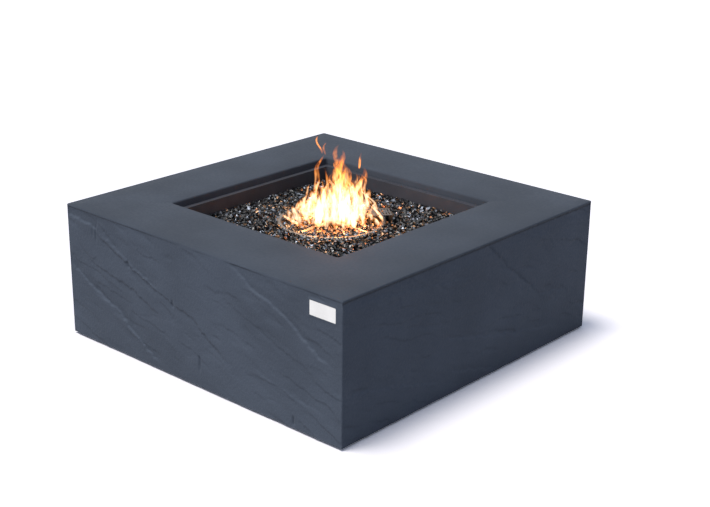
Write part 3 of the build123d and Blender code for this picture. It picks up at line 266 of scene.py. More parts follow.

# %% Near edges group
near_edges, given, made = new_group("near edges", {"Radius": 0.001, "Break Up": 60.0}, ["Edge"])
rounded = add_node(near_edges, "ShaderNodeBevel", samples=4)
feed(near_edges, given["Radius"], rounded.inputs["Radius"])
facing = add_node(near_edges, "ShaderNodeVectorMath", operation="DOT_PRODUCT")
feed(near_edges, rounded.outputs[0], facing.inputs[0])
feed(near_edges, add_node(near_edges, "ShaderNodeNewGeometry").outputs["Normal"], facing.inputs[1])
edge = remap(near_edges, facing.outputs["Value"], 0.99, 0.86)
breaks = remap(near_edges, noise_value(near_edges, object_place(near_edges), given["Break Up"]), 0.35, 0.65)
feed(near_edges, times(near_edges, edge, breaks), made["Edge"])
print("near edges:", len(near_edges.nodes), "nodes")

# %% Speckle group
speckle, given, made = new_group("speckle", {"Scale": 200.0, "Size": 0.12}, ["Spot"])
cells = add_node(speckle, "ShaderNodeTexVoronoi")
feed(speckle, object_place(speckle), cells.inputs["Vector"])
feed(speckle, given["Scale"], cells.inputs["Scale"])
double_size = times(speckle, given["Size"], 2.0)
feed(speckle, remap(speckle, cells.outputs["Distance"], double_size, given["Size"]), made["Spot"])
print("speckle:", len(speckle.nodes), "nodes")

# %% [markdown]
# ## Materials
#
# Each material ends in one Principled shader. Numbers that are the same all over, such as how strongly it
# reflects, are set on the shader itself. Colour, roughness and the surface normal vary, so nodes drive
# them. A Bump node turns a height into a bent normal; its distance is in metres, like everything here.

# %% Material helper
materials = {}


def new_material(name, metallic=0.0, specular=0.5, coat=0.0):
    """A material with one Principled shader: returns its tree and the shader's inputs."""
    material = bpy.data.materials.new(name)
    material.use_nodes = True
    tree = material.node_tree
    shader = tree.nodes["Principled BSDF"]
    shader.inputs["Metallic"].default_value = metallic
    shader.inputs["Specular IOR Level"].default_value = specular
    shader.inputs["Coat Weight"].default_value = coat
    materials[name] = material
    return tree, shader.inputs


def bump(tree, inputs, height, distance):
    """Let a height bend the surface normal."""
    made = add_node(tree, "ShaderNodeBump")
    made.inputs["Distance"].default_value = distance
    feed(tree, height, made.inputs["Height"])
    feed(tree, made.outputs[0], inputs["Normal"])


def rgb(red, green, blue):
    """A colour with full alpha."""
    return (red, green, blue, 1.0)


# %% [markdown]
# ## Concrete
#
# Deck and sides are one casting of dark, sealed concrete, cloudy in tone, finely grained and slightly
# porous. Its arrises are paler: partly rubbed, and partly a painted highlight where the rounded edge catches
# the light, most on the front and back. The slate sides get painted light and shade from the way that they
# face: a painted highlight on what looks up, painted shade on what looks down, and painted shade in the
# groove under the deck's edge on the left and right faces. The normal and the height above the ground give
# the masks for that.

# %% Concrete
CONCRETE = (0.067, 0.081, 0.106)
# Arris colour: rubbed paler, and partly a painted highlight where the rounded edge catches the light
ARRIS_WEAR_AND_HIGHLIGHT = (0.16, 0.18, 0.21)


def concrete_tone(factor):
    """The colour of the concrete, darker or lighter by a factor."""
    return rgb(*(factor * channel for channel in CONCRETE))


def concrete(name, tone, grain_height, roughness, add_tones=None):
    """Sealed cast concrete with paler arrises; add_tones may change its colour and how pale its arrises are.
    """
    tree, inputs = new_material(name, specular=0.12)
    cloud = place_group(tree, mottle, Broad_Scale=5.0, Fine_Scale=140.0)
    pores = place_group(tree, speckle, Scale=420.0, Size=0.10)
    # The edge mask pales the arrises: part wear, part painted highlight
    wear = place_group(tree, near_edges, Radius=0.0022, Break_Up=70.0)
    pale = concrete_tone(tone * 1.10)
    colour = mix_colour(tree, cloud["Broad"], concrete_tone(tone * 0.86), pale)
    colour = mix_colour(tree, times(tree, cloud["Fine"], 0.25), colour, pale)
    # How pale the arrises get, part wear and part painted highlight
    rubbed = 0.35
    if add_tones:
        colour, rubbed = add_tones(tree, colour)
    wear_and_highlight_share = times(tree, wear["Edge"], rubbed)
    feed(tree, mix_colour(tree, wear_and_highlight_share, colour, rgb(*ARRIS_WEAR_AND_HIGHLIGHT)), inputs["Base Color"])
    feed(tree, math_node(tree, "MULTIPLY_ADD", cloud["Fine"], 0.12, roughness), inputs["Roughness"])
    pore_depth = times(tree, pores["Spot"], 0.3)
    bump(tree, inputs, math_node(tree, "SUBTRACT", cloud["Height"], pore_depth), grain_height)
    return materials[name]


# %% Tones of the slate sides
# Painted light and shade on the slate: lighter on ledges that face up, darker under lips and in the groove
LEDGE_PAINTED_HIGHLIGHT = 1.35
LIP_SHADE = 0.5
GROOVE_PAINTED_SHADE = 0.38
# Heights in metres over which the painted shade of the groove fades in
GROOVE_TOP = (0.3755, 0.3735)
GROOVE_FLOOR = (0.3655, 0.3705)


def slate_tones(tree, colour):
    """Painted highlight on ledges, painted shade under lips and in groove; front and back arrises paled more.
    """
    geometry = add_node(tree, "ShaderNodeNewGeometry").outputs
    normal = parts_of(tree, geometry["Normal"])
    height = parts_of(tree, geometry["Position"])["Z"]
    looks_up = remap(tree, normal["Z"], 0.02, 0.50, smooth=False)
    looks_down = remap(tree, normal["Z"], -0.02, -0.50, smooth=False)
    # Painted highlight where the surface faces up, painted shade where it faces down
    colour = mix_colour(tree, looks_up, colour, concrete_tone(LEDGE_PAINTED_HIGHLIGHT))
    colour = mix_colour(tree, looks_down, colour, concrete_tone(LIP_SHADE))
    # Painted shade in the groove under the deck's edge, on the left and right faces only
    in_groove = times(tree, remap(tree, height, *GROOVE_TOP), remap(tree, height, *GROOVE_FLOOR))
    on_side = remap(tree, math_node(tree, "ABSOLUTE", normal["X"]), 0.3, 0.7, 0.0, 0.8)
    colour = mix_colour(tree, times(tree, in_groove, on_side), colour, concrete_tone(GROOVE_PAINTED_SHADE))
    # Front and back arrises get paler still: a painted highlight along the edge, on top of the wear
    rubbed = remap(tree, math_node(tree, "ABSOLUTE", normal["Y"]), 0.2, 0.6, 0.35, 0.85)
    return colour, rubbed


deck_concrete = concrete("smooth_deck", tone=0.93, grain_height=0.00010, roughness=0.60)
slate_concrete = concrete("slate_sides", tone=1.0, grain_height=0.0008, roughness=0.58, add_tones=slate_tones)
print("concretes:", list(materials))

# %% [markdown]
# ## Metals and coatings
#
# Bare metal is told apart by small things: the way it was brushed, a warm tint where heat has been, and
# grime in its grain. One helper makes all the metals from those, and another makes paint, plastic and
# glaze, which differ in how even, how shiny and how worn they are.

# %% Metals
METAL_GRIME = (0.09, 0.085, 0.08)
METAL_EDGE = (0.85, 0.84, 0.82)


def metal(name, colour, roughness, stretch=None, tint=None, grime=0.15):
    """A bare or plated metal: a slow change of tone, streaks or grain, and dulled hollows."""
    tree, inputs = new_material(name, metallic=1.0)
    cloud = place_group(tree, mottle, Broad_Scale=18.0, Fine_Scale=350.0)
    wear = place_group(tree, near_edges, Radius=0.0008, Break_Up=200.0)
    grain = cloud["Fine"]
    if stretch:
        grain = place_group(tree, brushing, Stretch=stretch)["Streak"]
    second = tint or tuple(channel * 0.8 for channel in colour)
    toned = mix_colour(tree, times(tree, cloud["Broad"], 0.6), rgb(*colour), rgb(*second))
    dulled = mix_colour(tree, times(tree, grain, grime), toned, rgb(*METAL_GRIME))
    edged = mix_colour(tree, times(tree, wear["Edge"], 0.5), dulled, rgb(*METAL_EDGE))
    feed(tree, edged, inputs["Base Color"])
    feed(tree, math_node(tree, "MULTIPLY_ADD", grain, 0.14, roughness), inputs["Roughness"])
    bump(tree, inputs, grain, 0.00004)
    return materials[name]


SHEET_GRAIN = (150.0, 150.0, 900.0)
metal("badge_steel", (0.80, 0.80, 0.76), 0.34, stretch=(30.0, 400.0, 2500.0), grime=0.05)
metal("zinc_steel", (0.60, 0.61, 0.63), 0.32, tint=(0.55, 0.54, 0.46))
metal("stainless", (0.36, 0.33, 0.30), 0.34, stretch=SHEET_GRAIN, tint=(0.30, 0.20, 0.13), grime=0.5)
metal("heat_dulled_steel", (0.20, 0.19, 0.19), 0.40, stretch=SHEET_GRAIN, tint=(0.15, 0.11, 0.09), grime=0.6)
metal("tray_steel", (0.44, 0.44, 0.45), 0.30, stretch=(20.0, 300.0, 1800.0), grime=0.2)
metal("brass", (0.72, 0.53, 0.25), 0.26, tint=(0.55, 0.38, 0.16))
metal("hose_steel", (0.55, 0.55, 0.56), 0.30, grime=0.3)
metal("aluminium_tube", (0.74, 0.75, 0.76), 0.30, grime=0.12)
metal("copper_lead", (0.72, 0.38, 0.22), 0.30, tint=(0.40, 0.20, 0.12))
metal("knob_metal", (0.50, 0.50, 0.51), 0.24, stretch=(900.0, 30.0, 900.0), grime=0.08)
metal("spring_steel", (0.50, 0.50, 0.52), 0.28)
print(len(materials), "materials with the metals")

# %% Coated, moulded and glazed finishes


def coated(name, colour, roughness, orange_peel, worn=(0.25, 0.24, 0.23), wear_amount=0.3, coat=0.0):
    """Paint, plastic, rubber or glaze: an even colour with grain, dust and slightly rubbed edges."""
    tree, inputs = new_material(name, specular=0.4, coat=coat)
    cloud = place_group(tree, mottle, Broad_Scale=12.0, Fine_Scale=260.0)
    wear = place_group(tree, near_edges, Radius=0.001, Break_Up=150.0)
    dust = tuple(min(1.0, channel * 1.25 + 0.004) for channel in colour)
    toned = mix_colour(tree, cloud["Broad"], rgb(*colour), rgb(*dust))
    edged = mix_colour(tree, times(tree, wear["Edge"], wear_amount), toned, rgb(*worn))
    feed(tree, edged, inputs["Base Color"])
    feed(tree, math_node(tree, "MULTIPLY_ADD", cloud["Fine"], 0.12, roughness), inputs["Roughness"])
    bump(tree, inputs, cloud["Height"], orange_peel)
    return materials[name]


coated("frame_paint", (0.022, 0.022, 0.024), 0.42, 0.00012)
coated("pan_coat", (0.042, 0.046, 0.060), 0.46, 0.00006, wear_amount=0.4)
coated("lead_jacket", (0.030, 0.030, 0.032), 0.55, 0.00003)
coated("ceramic", (0.80, 0.77, 0.70), 0.22, 0.00002, worn=(0.6, 0.55, 0.5), coat=0.6)
coated("black_plastic", (0.018, 0.018, 0.019), 0.40, 0.00003, worn=(0.09, 0.09, 0.09))
coated("battery_wrap", (0.10, 0.11, 0.13), 0.25, 0.00001, coat=0.3)
print(len(materials), "materials so far")

# %% [markdown]
# ## Finishes on the CAD parts
#
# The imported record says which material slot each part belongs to. The slots have the names used above, so
# a loop can hand every CAD part its finish.

# %% Give CAD parts their finishes
slot_of = {part["node"]: part["material_slot"] for part in frame["record"]["subparts"]}
finish_of_slot = {**materials, "cast_concrete": slate_concrete}
for node_name, cad_object in cad_nodes.items():
    finish = finish_of_slot.get(slot_of[node_name])
    if node_name == "igniter_guard":
        finish = materials["heat_dulled_steel"]
    if finish:
        for material_slot in cad_object.material_slots:
            material_slot.material = finish
print("dressed", len(cad_nodes), "parts from", len(set(slot_of.values())), "slots")

# %% [markdown]
# ## Mesh helpers
#
# New pieces are made as plain lists of points and faces, which numpy fills quickly, and are then put on
# the body that carries them. A prism cuts pockets into them with a Boolean modifier.

# %% Pieces and their shading


def mesh_piece(name, points, faces, finishes):
    """A mesh object from points in metres, with its materials."""
    mesh = bpy.data.meshes.new(name)
    mesh.from_pydata([tuple(p) for p in points], [], [tuple(int(i) for i in f) for f in faces])
    for finish in finishes:
        mesh.materials.append(finish)
    mesh.update()
    piece = bpy.data.objects.new(name, mesh)
    scene.collection.objects.link(piece)
    return piece


def shade(piece, smooth_angle):
    """Smooth shading that keeps edges sharper than an angle in degrees."""
    piece.data.shade_smooth()
    piece.data.set_sharp_from_angle(angle=math.radians(smooth_angle))


# %% Outlines and tubes


def rounded_rectangle(half_x, half_y, radius, arc_steps=4, side_steps=1):
    """Points round a rectangle with arc corners, counter-clockwise from its right side."""
    arcs = []
    for quarter, (x, y) in enumerate(((1, 1), (-1, 1), (-1, -1), (1, -1))):
        turn = np.radians(90 * quarter + 90 * np.arange(arc_steps + 1) / arc_steps)
        centre = np.array((x * (half_x - radius), y * (half_y - radius)))
        arcs.append(centre + radius * np.column_stack((np.cos(turn), np.sin(turn))))
    outline = []
    for arc, next_arc in zip(arcs, arcs[1:] + arcs[:1]):
        outline += [arc, np.linspace(arc[-1], next_arc[0], side_steps + 1)[1:-1]]
    return np.concatenate(outline)


def tube_faces(rings, sides, first=0):
    """Quads that join rings of points, each with as many sides, into a tube."""
    ring, side = np.meshgrid(np.arange(rings - 1), np.arange(sides), indexing="ij")
    here = first + ring * sides + side
    beside = first + ring * sides + (side + 1) % sides
    return np.stack((here, beside, beside + sides, here + sides), axis=-1).reshape(-1, 4)


print("a plain rounded rectangle has", len(rounded_rectangle(1, 1, 0.1)), "points")

# %% Cutting


def prism(name, outline, place, depth):
    """A closed prism: an outline in a plane, given depth along the plane's normal on both sides."""
    count = len(outline)
    points = [place @ Vector((x, y, z)) for z in (-depth, depth) for x, y in outline]
    ends = [tuple(reversed(range(count))), tuple(range(count, 2 * count))]
    return mesh_piece(name, points, [*tube_faces(2, count), *ends], [])


def cut(piece, cutter):
    """Cut one mesh out of another and delete the cutter."""
    boolean = piece.modifiers.new("cut", "BOOLEAN")
    boolean.operation = "DIFFERENCE"
    boolean.solver = "EXACT"
    boolean.object = cutter
    graph = bpy.context.evaluated_depsgraph_get()
    result = bpy.data.meshes.new_from_object(piece.evaluated_get(graph))
    piece.modifiers.clear()
    piece.data = result
    bpy.data.objects.remove(cutter)


# %% [markdown]
# ## Slate relief
#
# The sides are cast against real split slate. Slate splits in layers, so its face is made of shallow steps
# that run across it at a slant, each with a sharp lip on one side and a slow slope on the other. Noise by
# itself looks like rock, not like slate, so the main lips are drawn as lines, and noise adds the bedding
# between them. All of it is carved inwards from the casting's outer face, so the size stays.

# %% Smooth noise on a grid
LATTICE = 64


def lattice_noise(u, v, seed):
    """Smooth noise between -1 and 1 from random values on a square lattice."""
    values = np.random.default_rng(seed).uniform(-1, 1, (LATTICE, LATTICE))
    cell_u, cell_v = np.floor(u).astype(int), np.floor(v).astype(int)
    part_u, part_v = u - cell_u, v - cell_v
    ease_u = part_u * part_u * (3 - 2 * part_u)
    ease_v = part_v * part_v * (3 - 2 * part_v)
    a = values[cell_u % LATTICE, cell_v % LATTICE]
    b = values[(cell_u + 1) % LATTICE, cell_v % LATTICE]
    c = values[cell_u % LATTICE, (cell_v + 1) % LATTICE]
    d = values[(cell_u + 1) % LATTICE, (cell_v + 1) % LATTICE]
    return a + (b - a) * ease_u + (c - a) * ease_v + (a - b - c + d) * ease_u * ease_v


def layered_noise(u, v, seed, octaves):
    """Noise at several scales added together."""
    total = np.zeros_like(u)
    for octave in range(octaves):
        total += lattice_noise(u * 2**octave, v * 2**octave, seed + octave) / 2**octave
    return total


def ease(value, low, high):
    """A smooth step from 0 to 1 between two values."""
    t = np.clip((value - low) / (high - low), 0, 1)
    return t * t * (3 - 2 * t)


print("half way up an eased step:", ease(0.5, 0, 1))

# %% Slate lips of the front and the right
# Each lip is (points, depth, side). Its points are millimetres along the face and up it. Side +1 leaves
# the lower part proud, so its lip catches the light, and -1 the upper part, so its lip is in shadow.
front_lips = [
    (
        [(120, 385), (132, 377), (199, 333), (292, 300),
         (339, 277), (379, 247), (432, 217), (500, 190)],
        1.5, 1,
    ),
    (
        [(-520, 218), (-495, 207), (-441, 180), (-375, 147),
         (-301, 120), (-241, 73), (-161, 27), (-130, 5)],
        1.5, 1,
    ),
    ([(-368, 325), (-315, 305), (-255, 275), (-175, 241), (-120, 222)], 1.1, 1),
    (
        [(-400, 330), (-375, 318), (-261, 268), (-175, 235),
         (-81, 205), (-1, 186), (25, 160), (139, 93)],
        1.7, -1,
    ),
    ([(-430, 240), (-408, 237), (-341, 220), (-241, 200), (-115, 147)], 1.3, -1),
    ([(-400, 186), (-308, 167), (-241, 160)], 0.8, -1),
    ([(-260, 138), (-148, 120), (-90, 108)], 0.8, -1),
    ([(-510, 352), (-440, 345), (-381, 338), (-379, 372)], 1.3, 1),
    ([(20, 300), (150, 262), (300, 205), (480, 150)], 0.6, -1),
    ([(200, 120), (330, 90), (470, 70)], 0.6, 1),
]
right_lips = [
    ([(30, 384), (45, 367), (125, 293), (185, 247), (279, 173), (330, 160)], 1.6, -1),
    ([(60, 352), (140, 280), (290, 166), (420, 150)], 0.8, 1),
    ([(-515, 142), (-400, 118), (-288, 93), (-175, 60), (-120, 50)], 1.2, 1),
    ([(-161, 173), (-40, 140), (92, 107), (292, 67), (380, 50)], 1.1, 1),
    ([(-495, 367), (-308, 340), (-108, 313), (20, 300)], 0.8, 1),
    ([(-108, 67), (-20, 45), (59, 20), (100, 8)], 0.9, 1),
    ([(-300, 250), (-150, 215), (60, 190)], 0.6, -1),
    ([(250, 330), (380, 300), (505, 262)], 0.7, -1),
]
print(len(front_lips) + len(right_lips), "lips on the front and the right")

# %% Slate lips of the back and the left
back_lips = [
    ([(-505, 300), (-380, 262), (-250, 236), (-160, 190)], 1.3, -1),
    ([(-60, 380), (60, 342), (210, 318), (330, 280), (505, 240)], 1.4, 1),
    ([(-480, 150), (-330, 118), (-190, 84), (-70, 66), (70, 20)], 1.4, 1),
    ([(-120, 250), (10, 220), (150, 172), (260, 150)], 1.0, -1),
    ([(120, 108), (260, 76), (420, 60)], 0.8, 1),
]
left_lips = [
    ([(-510, 262), (-380, 232), (-260, 210), (-120, 150), (30, 118)], 1.5, 1),
    ([(-240, 378), (-110, 330), (20, 300), (190, 262), (330, 206)], 1.5, -1),
    ([(-330, 130), (-180, 92), (-40, 70), (60, 18)], 1.0, 1),
    ([(90, 196), (230, 150), (380, 120), (505, 74)], 1.3, -1),
    ([(240, 350), (370, 318), (505, 300)], 0.9, 1),
]
# Short upright dents where a flake has come away: (along, up, half width, half height, depth)
front_dents = [
    (15, 70, 3.0, 20, 2.2),
    (349, 24, 3.0, 12, 2.0),
    (-258, 268, 4, 10, 1.8),
    (-85, 205, 3, 10, 1.8),
    (-388, 322, 3, 24, 1.5),
    (-400, 326, 3, 16, 1.2),
]
print(len(back_lips) + len(left_lips), "lips on the back and the left")

# %% Distance from a lip


def beside_lip(points, along, up):
    """Signed distance from a lip's line, plus above it, and the share of the line passed by then."""
    corners = np.array(points, float)
    lengths = np.hypot(*(corners[1:] - corners[:-1]).T)
    nearest = np.full(along.shape, np.inf)
    signed, share = np.zeros(along.shape), np.zeros(along.shape)
    done = 0.0
    for begin, finish, length in zip(corners[:-1], corners[1:], lengths):
        line = (finish - begin) / length
        reach = np.clip((along - begin[0]) * line[0] + (up - begin[1]) * line[1], 0, length)
        off_x = along - begin[0] - reach * line[0]
        off_y = up - begin[1] - reach * line[1]
        away = np.hypot(off_x, off_y)
        closer = away < nearest
        above = np.where(line[0] * off_y - line[1] * off_x > 0, 1.0, -1.0)
        nearest = np.where(closer, away, nearest)
        signed = np.where(closer, above * away, signed)
        share = np.where(closer, (done + reach) / lengths.sum(), share)
        done += length
    return signed, share


print("the longest line on the front has", max(len(points) for points, _, _ in front_lips), "points")

# %% Depth of the carving
LIP_SCALE = 2.0
LIP_WIDTH = 2.8
FLAKE_DEPTH = 1.3
BEDDING_DEPTH = 0.62
LIP_ENDS = 0.12, 0.8
DEEPEST = 6.5


def carve(along, up, lips, dents, seed):
    """Depth in millimetres, 0 or less, at points of one face."""
    warp = 9 * layered_noise(along / 70, up / 70, seed + 40, 3)
    bedding = (up + warp + 0.30 * along) / 46 + 0.35 * layered_noise(along / 150, up / 60, seed + 50, 3)
    step = bedding - np.floor(bedding)
    flake = ease(layered_noise(along / 110, up / 45, seed + 60, 3), -0.1, 0.7)
    depth = -FLAKE_DEPTH * flake * step * ease(step, 0, 0.10)
    slanted = up + 0.42 * along
    depth -= BEDDING_DEPTH * (1 + layered_noise(along / 95, slanted / 26, seed, 5))
    ragged_along = along + 4 * layered_noise(along / 16, up / 16, seed + 70, 2)
    ragged_up = up + 4 * layered_noise(along / 13 + 7, up / 13, seed + 80, 3)
    slope_length = 30 + 10 * lattice_noise(along / 90, up / 90, seed + 90)
    for points, lip_depth, side in lips:
        signed, share = beside_lip(points, ragged_along, ragged_up)
        distance = signed * side
        fade = ease(share, 0, LIP_ENDS[0]) * ease(share, 1, LIP_ENDS[1])
        slope = np.exp(-np.maximum(distance, 0) / slope_length)
        depth -= LIP_SCALE * lip_depth * fade * slope * ease(distance, -LIP_WIDTH, LIP_WIDTH)
    for dent_along, dent_up, half_width, half_height, dent_depth in dents:
        inside = ((along - dent_along) / half_width) ** 2 + ((up - dent_up) / half_height) ** 4
        depth -= LIP_SCALE * dent_depth * np.exp(-inside)
    return np.clip(depth, -DEEPEST, 0)


print("carving is at most", DEEPEST, "mm deep")

# %% [markdown]
# ## Body casting
#
# The casting is one closed skin. It is easiest to think of it as a rounded square loop that is swept up the
# outer face, over the deck, down into the opening, under the ledge and back down inside the walls. Every
# loop has the same number of points, so neighbours join with quads and the skin stays watertight. The
# outer rows are close together because the slate relief moves them; the rest are flat and need few.

# %% Sizes of the casting
half_body = cad_box[1].x / MM
shell_low, shell_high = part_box("body_shell")
body_bottom = shell_low.z / MM
body_top = shell_high.z / MM
wall = 15.0
deck_thickness = 22.0
deck_edge_radius = 3.0
opening_half = 306.0
opening_edge_radius = 5.0
throat_half = 292.0
collar_half = 320.0
ledge_top = 358.5
collar_bottom = 343.5
outer_corner = 5.0
opening_corner = 6.0
throat_corner = 10.0
collar_corner = 20.0
inner_corner = 12.0
deck_corners = (4.0, 10.0)
print("casting from", round(body_bottom, 1), "to", round(body_top, 1), "mm")

# %% Loops of the casting
ROW_STEP = 3.2
TOP_BAND = 12.0
TOP_ROW_STEP = 1.2
CORNER_STEPS = 4
side_steps = int(round(2 * (half_body - outer_corner) / ROW_STEP))


def loop(half, radius, height):
    """One rounded square loop of the skin."""
    outline = rounded_rectangle(half, half, radius, CORNER_STEPS, side_steps)
    return np.column_stack((outline, np.full(len(outline), height)))


edge_start = body_top - deck_edge_radius
band_start = body_top - TOP_BAND
wall_rows = np.linspace(body_bottom, band_start, int((body_top - body_bottom) / ROW_STEP))
band_rows = np.arange(band_start, edge_start, TOP_ROW_STEP)[1:]
outer_heights = np.concatenate((wall_rows, band_rows, [edge_start]))
loops = [loop(half_body, outer_corner, height) for height in outer_heights]
outer_rows = len(loops)
for angle in np.radians((30, 60, 90)):
    inset = deck_edge_radius * (1 - math.cos(angle))
    height = edge_start + deck_edge_radius * math.sin(angle)
    loops.append(loop(half_body - inset, outer_corner - inset / 2, height))
deck_rim = half_body - deck_edge_radius
opening_rim = opening_half + opening_edge_radius
for share in (0.25, 0.5, 0.75):
    corner = np.interp(share, (0, 1), deck_corners)
    loops.append(loop(deck_rim + share * (opening_rim - deck_rim), corner, body_top))
for angle in np.radians((0, 22, 45, 68, 90)):
    spread = opening_edge_radius * (1 - math.sin(angle))
    drop = opening_edge_radius * (1 - math.cos(angle))
    loops.append(loop(opening_half + spread, opening_corner + spread, body_top - drop))
for half, corner, height in (
    (opening_half, opening_corner, ledge_top),
    (throat_half, throat_corner, ledge_top),
    (throat_half, throat_corner, collar_bottom),
    (collar_half, collar_corner, collar_bottom),
    (collar_half, collar_corner, body_top - deck_thickness),
    (half_body - wall, inner_corner, body_top - deck_thickness),
    (half_body - wall, inner_corner, body_bottom),
):
    loops.append(loop(half, corner, height))
skin = np.array(loops)
print("casting skin:", skin.shape[0], "loops of", skin.shape[1], "points")

# %% [markdown]
# ### Carving the four faces
#
# Each face gets its own lips and its own seed. Under the deck's edge the slate steps back in an uneven
# ledge, which fades out along the right half of the front. The carving also fades out at the corners,
# under the deck's rounded edge, and round the badge and the control tray, which need a flat seat.

# %% Carve the outer rows
badge_low, badge_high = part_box("badge_plate")
tray_low, tray_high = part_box("control_tray")
EDGE_FADE = (3.2, 8.6)
CORNER_FADE = (0, 7)
BADGE_FADE = (0, 9)
TRAY_FADE = (3, 14)
LEDGE_HEIGHTS = (335, 370)
FRONT_LEDGE = (0, -260)


def beyond_plate(x, z, low, high):
    """Distance in millimetres outside the outline of a plate that is let into a face."""
    beyond_x = np.maximum(np.maximum(low.x / MM - x, x - high.x / MM), 0)
    beyond_z = np.maximum(np.maximum(low.z / MM - z, z - high.z / MM), 0)
    return np.hypot(beyond_x, beyond_z)


outer = skin[:outer_rows]
x, y, z = outer[..., 0], outer[..., 1], outer[..., 2]
below_edge = ease(body_top - z, *EDGE_FADE)
carving = np.zeros(x.shape)
outward = np.zeros(outer.shape)
for face_x, face_y, lips, dents, seed, ledge_depth in (
    (0, -1, front_lips, front_dents, 11, 2.0),
    (1, 0, right_lips, [], 23, 2.8),
    (0, 1, back_lips, [], 37, 1.6),
    (-1, 0, left_lips, [], 51, 1.6),
):
    along = y * face_x if face_x else -x * face_y
    on_face = x * face_x + y * face_y > half_body - outer_corner + 1e-6
    uneven = 0.55 + 0.45 * ease(layered_noise(along / 160, z * 0, seed + 5, 3), -0.6, 0.4)
    ledge = ledge_depth * uneven * ease(z, *LEDGE_HEIGHTS)
    if face_y == -1:
        ledge *= 0.02 + 0.98 * ease(along, *FRONT_LEDGE)
    from_corner = ease(half_body - np.abs(along), *CORNER_FADE)
    depth = (carve(along, z, lips, dents, seed) - ledge) * below_edge * from_corner
    if face_y == -1:
        depth *= ease(beyond_plate(x, z, badge_low, badge_high), *BADGE_FADE)
    if face_y == 1:
        depth *= ease(beyond_plate(x, z, tray_low, tray_high), *TRAY_FADE)
    carving = np.where(on_face & (depth < carving), depth, carving)
    outward[..., 0] += np.where(on_face, face_x, 0)
    outward[..., 1] += np.where(on_face, face_y, 0)
lengths = np.linalg.norm(outward, axis=2, keepdims=True)
outer += outward / np.maximum(lengths, 1e-9) * carving[..., None]
print("deepest carving", round(float(carving.min()), 2), "mm")

# %% Join the loops
rows, columns = skin.shape[:2]
here = np.arange(rows * columns).reshape(rows, columns)
beside = np.roll(here, -1, axis=1)
quads = np.stack((here, beside, np.roll(beside, -1, axis=0), np.roll(here, -1, axis=0)), axis=-1)
finishes = [slate_concrete, deck_concrete]
casting = mesh_piece("body_casting", skin.reshape(-1, 3) * MM, quads.reshape(-1, 4), finishes)
on_deck = np.repeat(np.arange(rows), columns) >= outer_rows - 1
casting.data.polygons.foreach_set("material_index", on_deck.astype(np.int32))
print("casting:", len(casting.data.polygons), "faces")

# %% Cut the pockets
TRAY_CLEARANCE = 1.5
TRAY_FLANGE = 12.5
BADGE_CLEARANCE = 0.4


def cut_pocket(name, low, high, face, margin, corner, depth):
    """Cut a rounded pocket round a plate's box, in the back face (1) or the front one (-1)."""
    half_x = (high.x - low.x) / 2 + margin * MM
    half_z = (high.z - low.z) / 2 + margin * MM
    middle = ((low.x + high.x) / 2, face * half_body * MM, (low.z + high.z) / 2)
    place = Matrix.Translation(middle) @ Matrix.Rotation(-face * math.pi / 2, 4, "X")
    cut(casting, prism(name, rounded_rectangle(half_x, half_z, corner * MM), place, depth * MM))


cut_pocket("tray_seat", tray_low, tray_high, 1, TRAY_CLEARANCE, corner=19.5, depth=3)
cut_pocket("tray_way", tray_low, tray_high, 1, TRAY_CLEARANCE - TRAY_FLANGE, corner=7, depth=2 * wall)
cut_pocket("badge_seat", badge_low, badge_high, -1, BADGE_CLEARANCE, corner=1.9, depth=2)
shade(casting, 35)
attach(casting, "fire_pit")
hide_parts("body_shell")
print("casting with its pockets:", len(casting.data.polygons), "faces")

# %% [markdown]
# ## Fire glass
#
# Fire glass is tempered sheet glass, some of it with a mirror coat, that has been crushed into chips about
# a centimetre across. A chip is a small convex lump with flat faces, so the convex hull of a few random
# points is already the right shape. A few dozen such hulls, turned and scaled by thousands of random
# placings, make a bed in which no repeat can be seen. The chips stay clear of the guard and leave the top
# of the burner ring showing.

# %% Glass finishes


def glass_chip(name, colour, metallic, roughness):
    """Tempered glass with or without a mirror coat: each chip a little different in tone."""
    tree, inputs = new_material(name, metallic=metallic, specular=0.6)
    cloud = place_group(tree, mottle, Broad_Scale=70.0, Fine_Scale=500.0)
    second = tuple(channel * 0.35 for channel in colour)
    feed(tree, mix_colour(tree, cloud["Broad"], rgb(*second), rgb(*colour)), inputs["Base Color"])
    feed(tree, math_node(tree, "MULTIPLY_ADD", cloud["Broad"], 0.15, roughness), inputs["Roughness"])
    bump(tree, inputs, cloud["Fine"], 0.00003)
    return materials[name]


chip_finishes = [
    glass_chip("black_glass", (0.021, 0.023, 0.028), 0.0, 0.15),
    glass_chip("smoky_mirror_glass", (0.24, 0.27, 0.33), 1.0, 0.26),
    glass_chip("copper_mirror_glass", (0.34, 0.20, 0.12), 1.0, 0.22),
]
print(len(chip_finishes), "finishes of fire glass")

# %% Chip shapes
chance = np.random.default_rng(7)
CHIP_SHAPES = 48


def chip_shape():
    """Points and triangles of one faceted chip about two units across."""
    hull = bmesh.new()
    flatness = chance.uniform(0.38, 0.68)
    for _ in range(chance.integers(7, 11)):
        direction = chance.normal(size=3)
        direction /= np.linalg.norm(direction)
        hull.verts.new(direction * (1.0, 0.78, flatness) * chance.uniform(0.8, 1.1))
    result = bmesh.ops.convex_hull(hull, input=hull.verts)
    bmesh.ops.delete(hull, geom=list(set(result["geom_interior"]) & set(hull.verts)), context="VERTS")
    bmesh.ops.triangulate(hull, faces=hull.faces)
    hull.verts.index_update()
    points = np.array([v.co[:] for v in hull.verts])
    triangles = np.array([[v.index for v in face.verts] for face in hull.faces])
    hull.free()
    return points, triangles


shapes = [chip_shape() for _ in range(CHIP_SHAPES)]
print(len(shapes), "chip shapes")

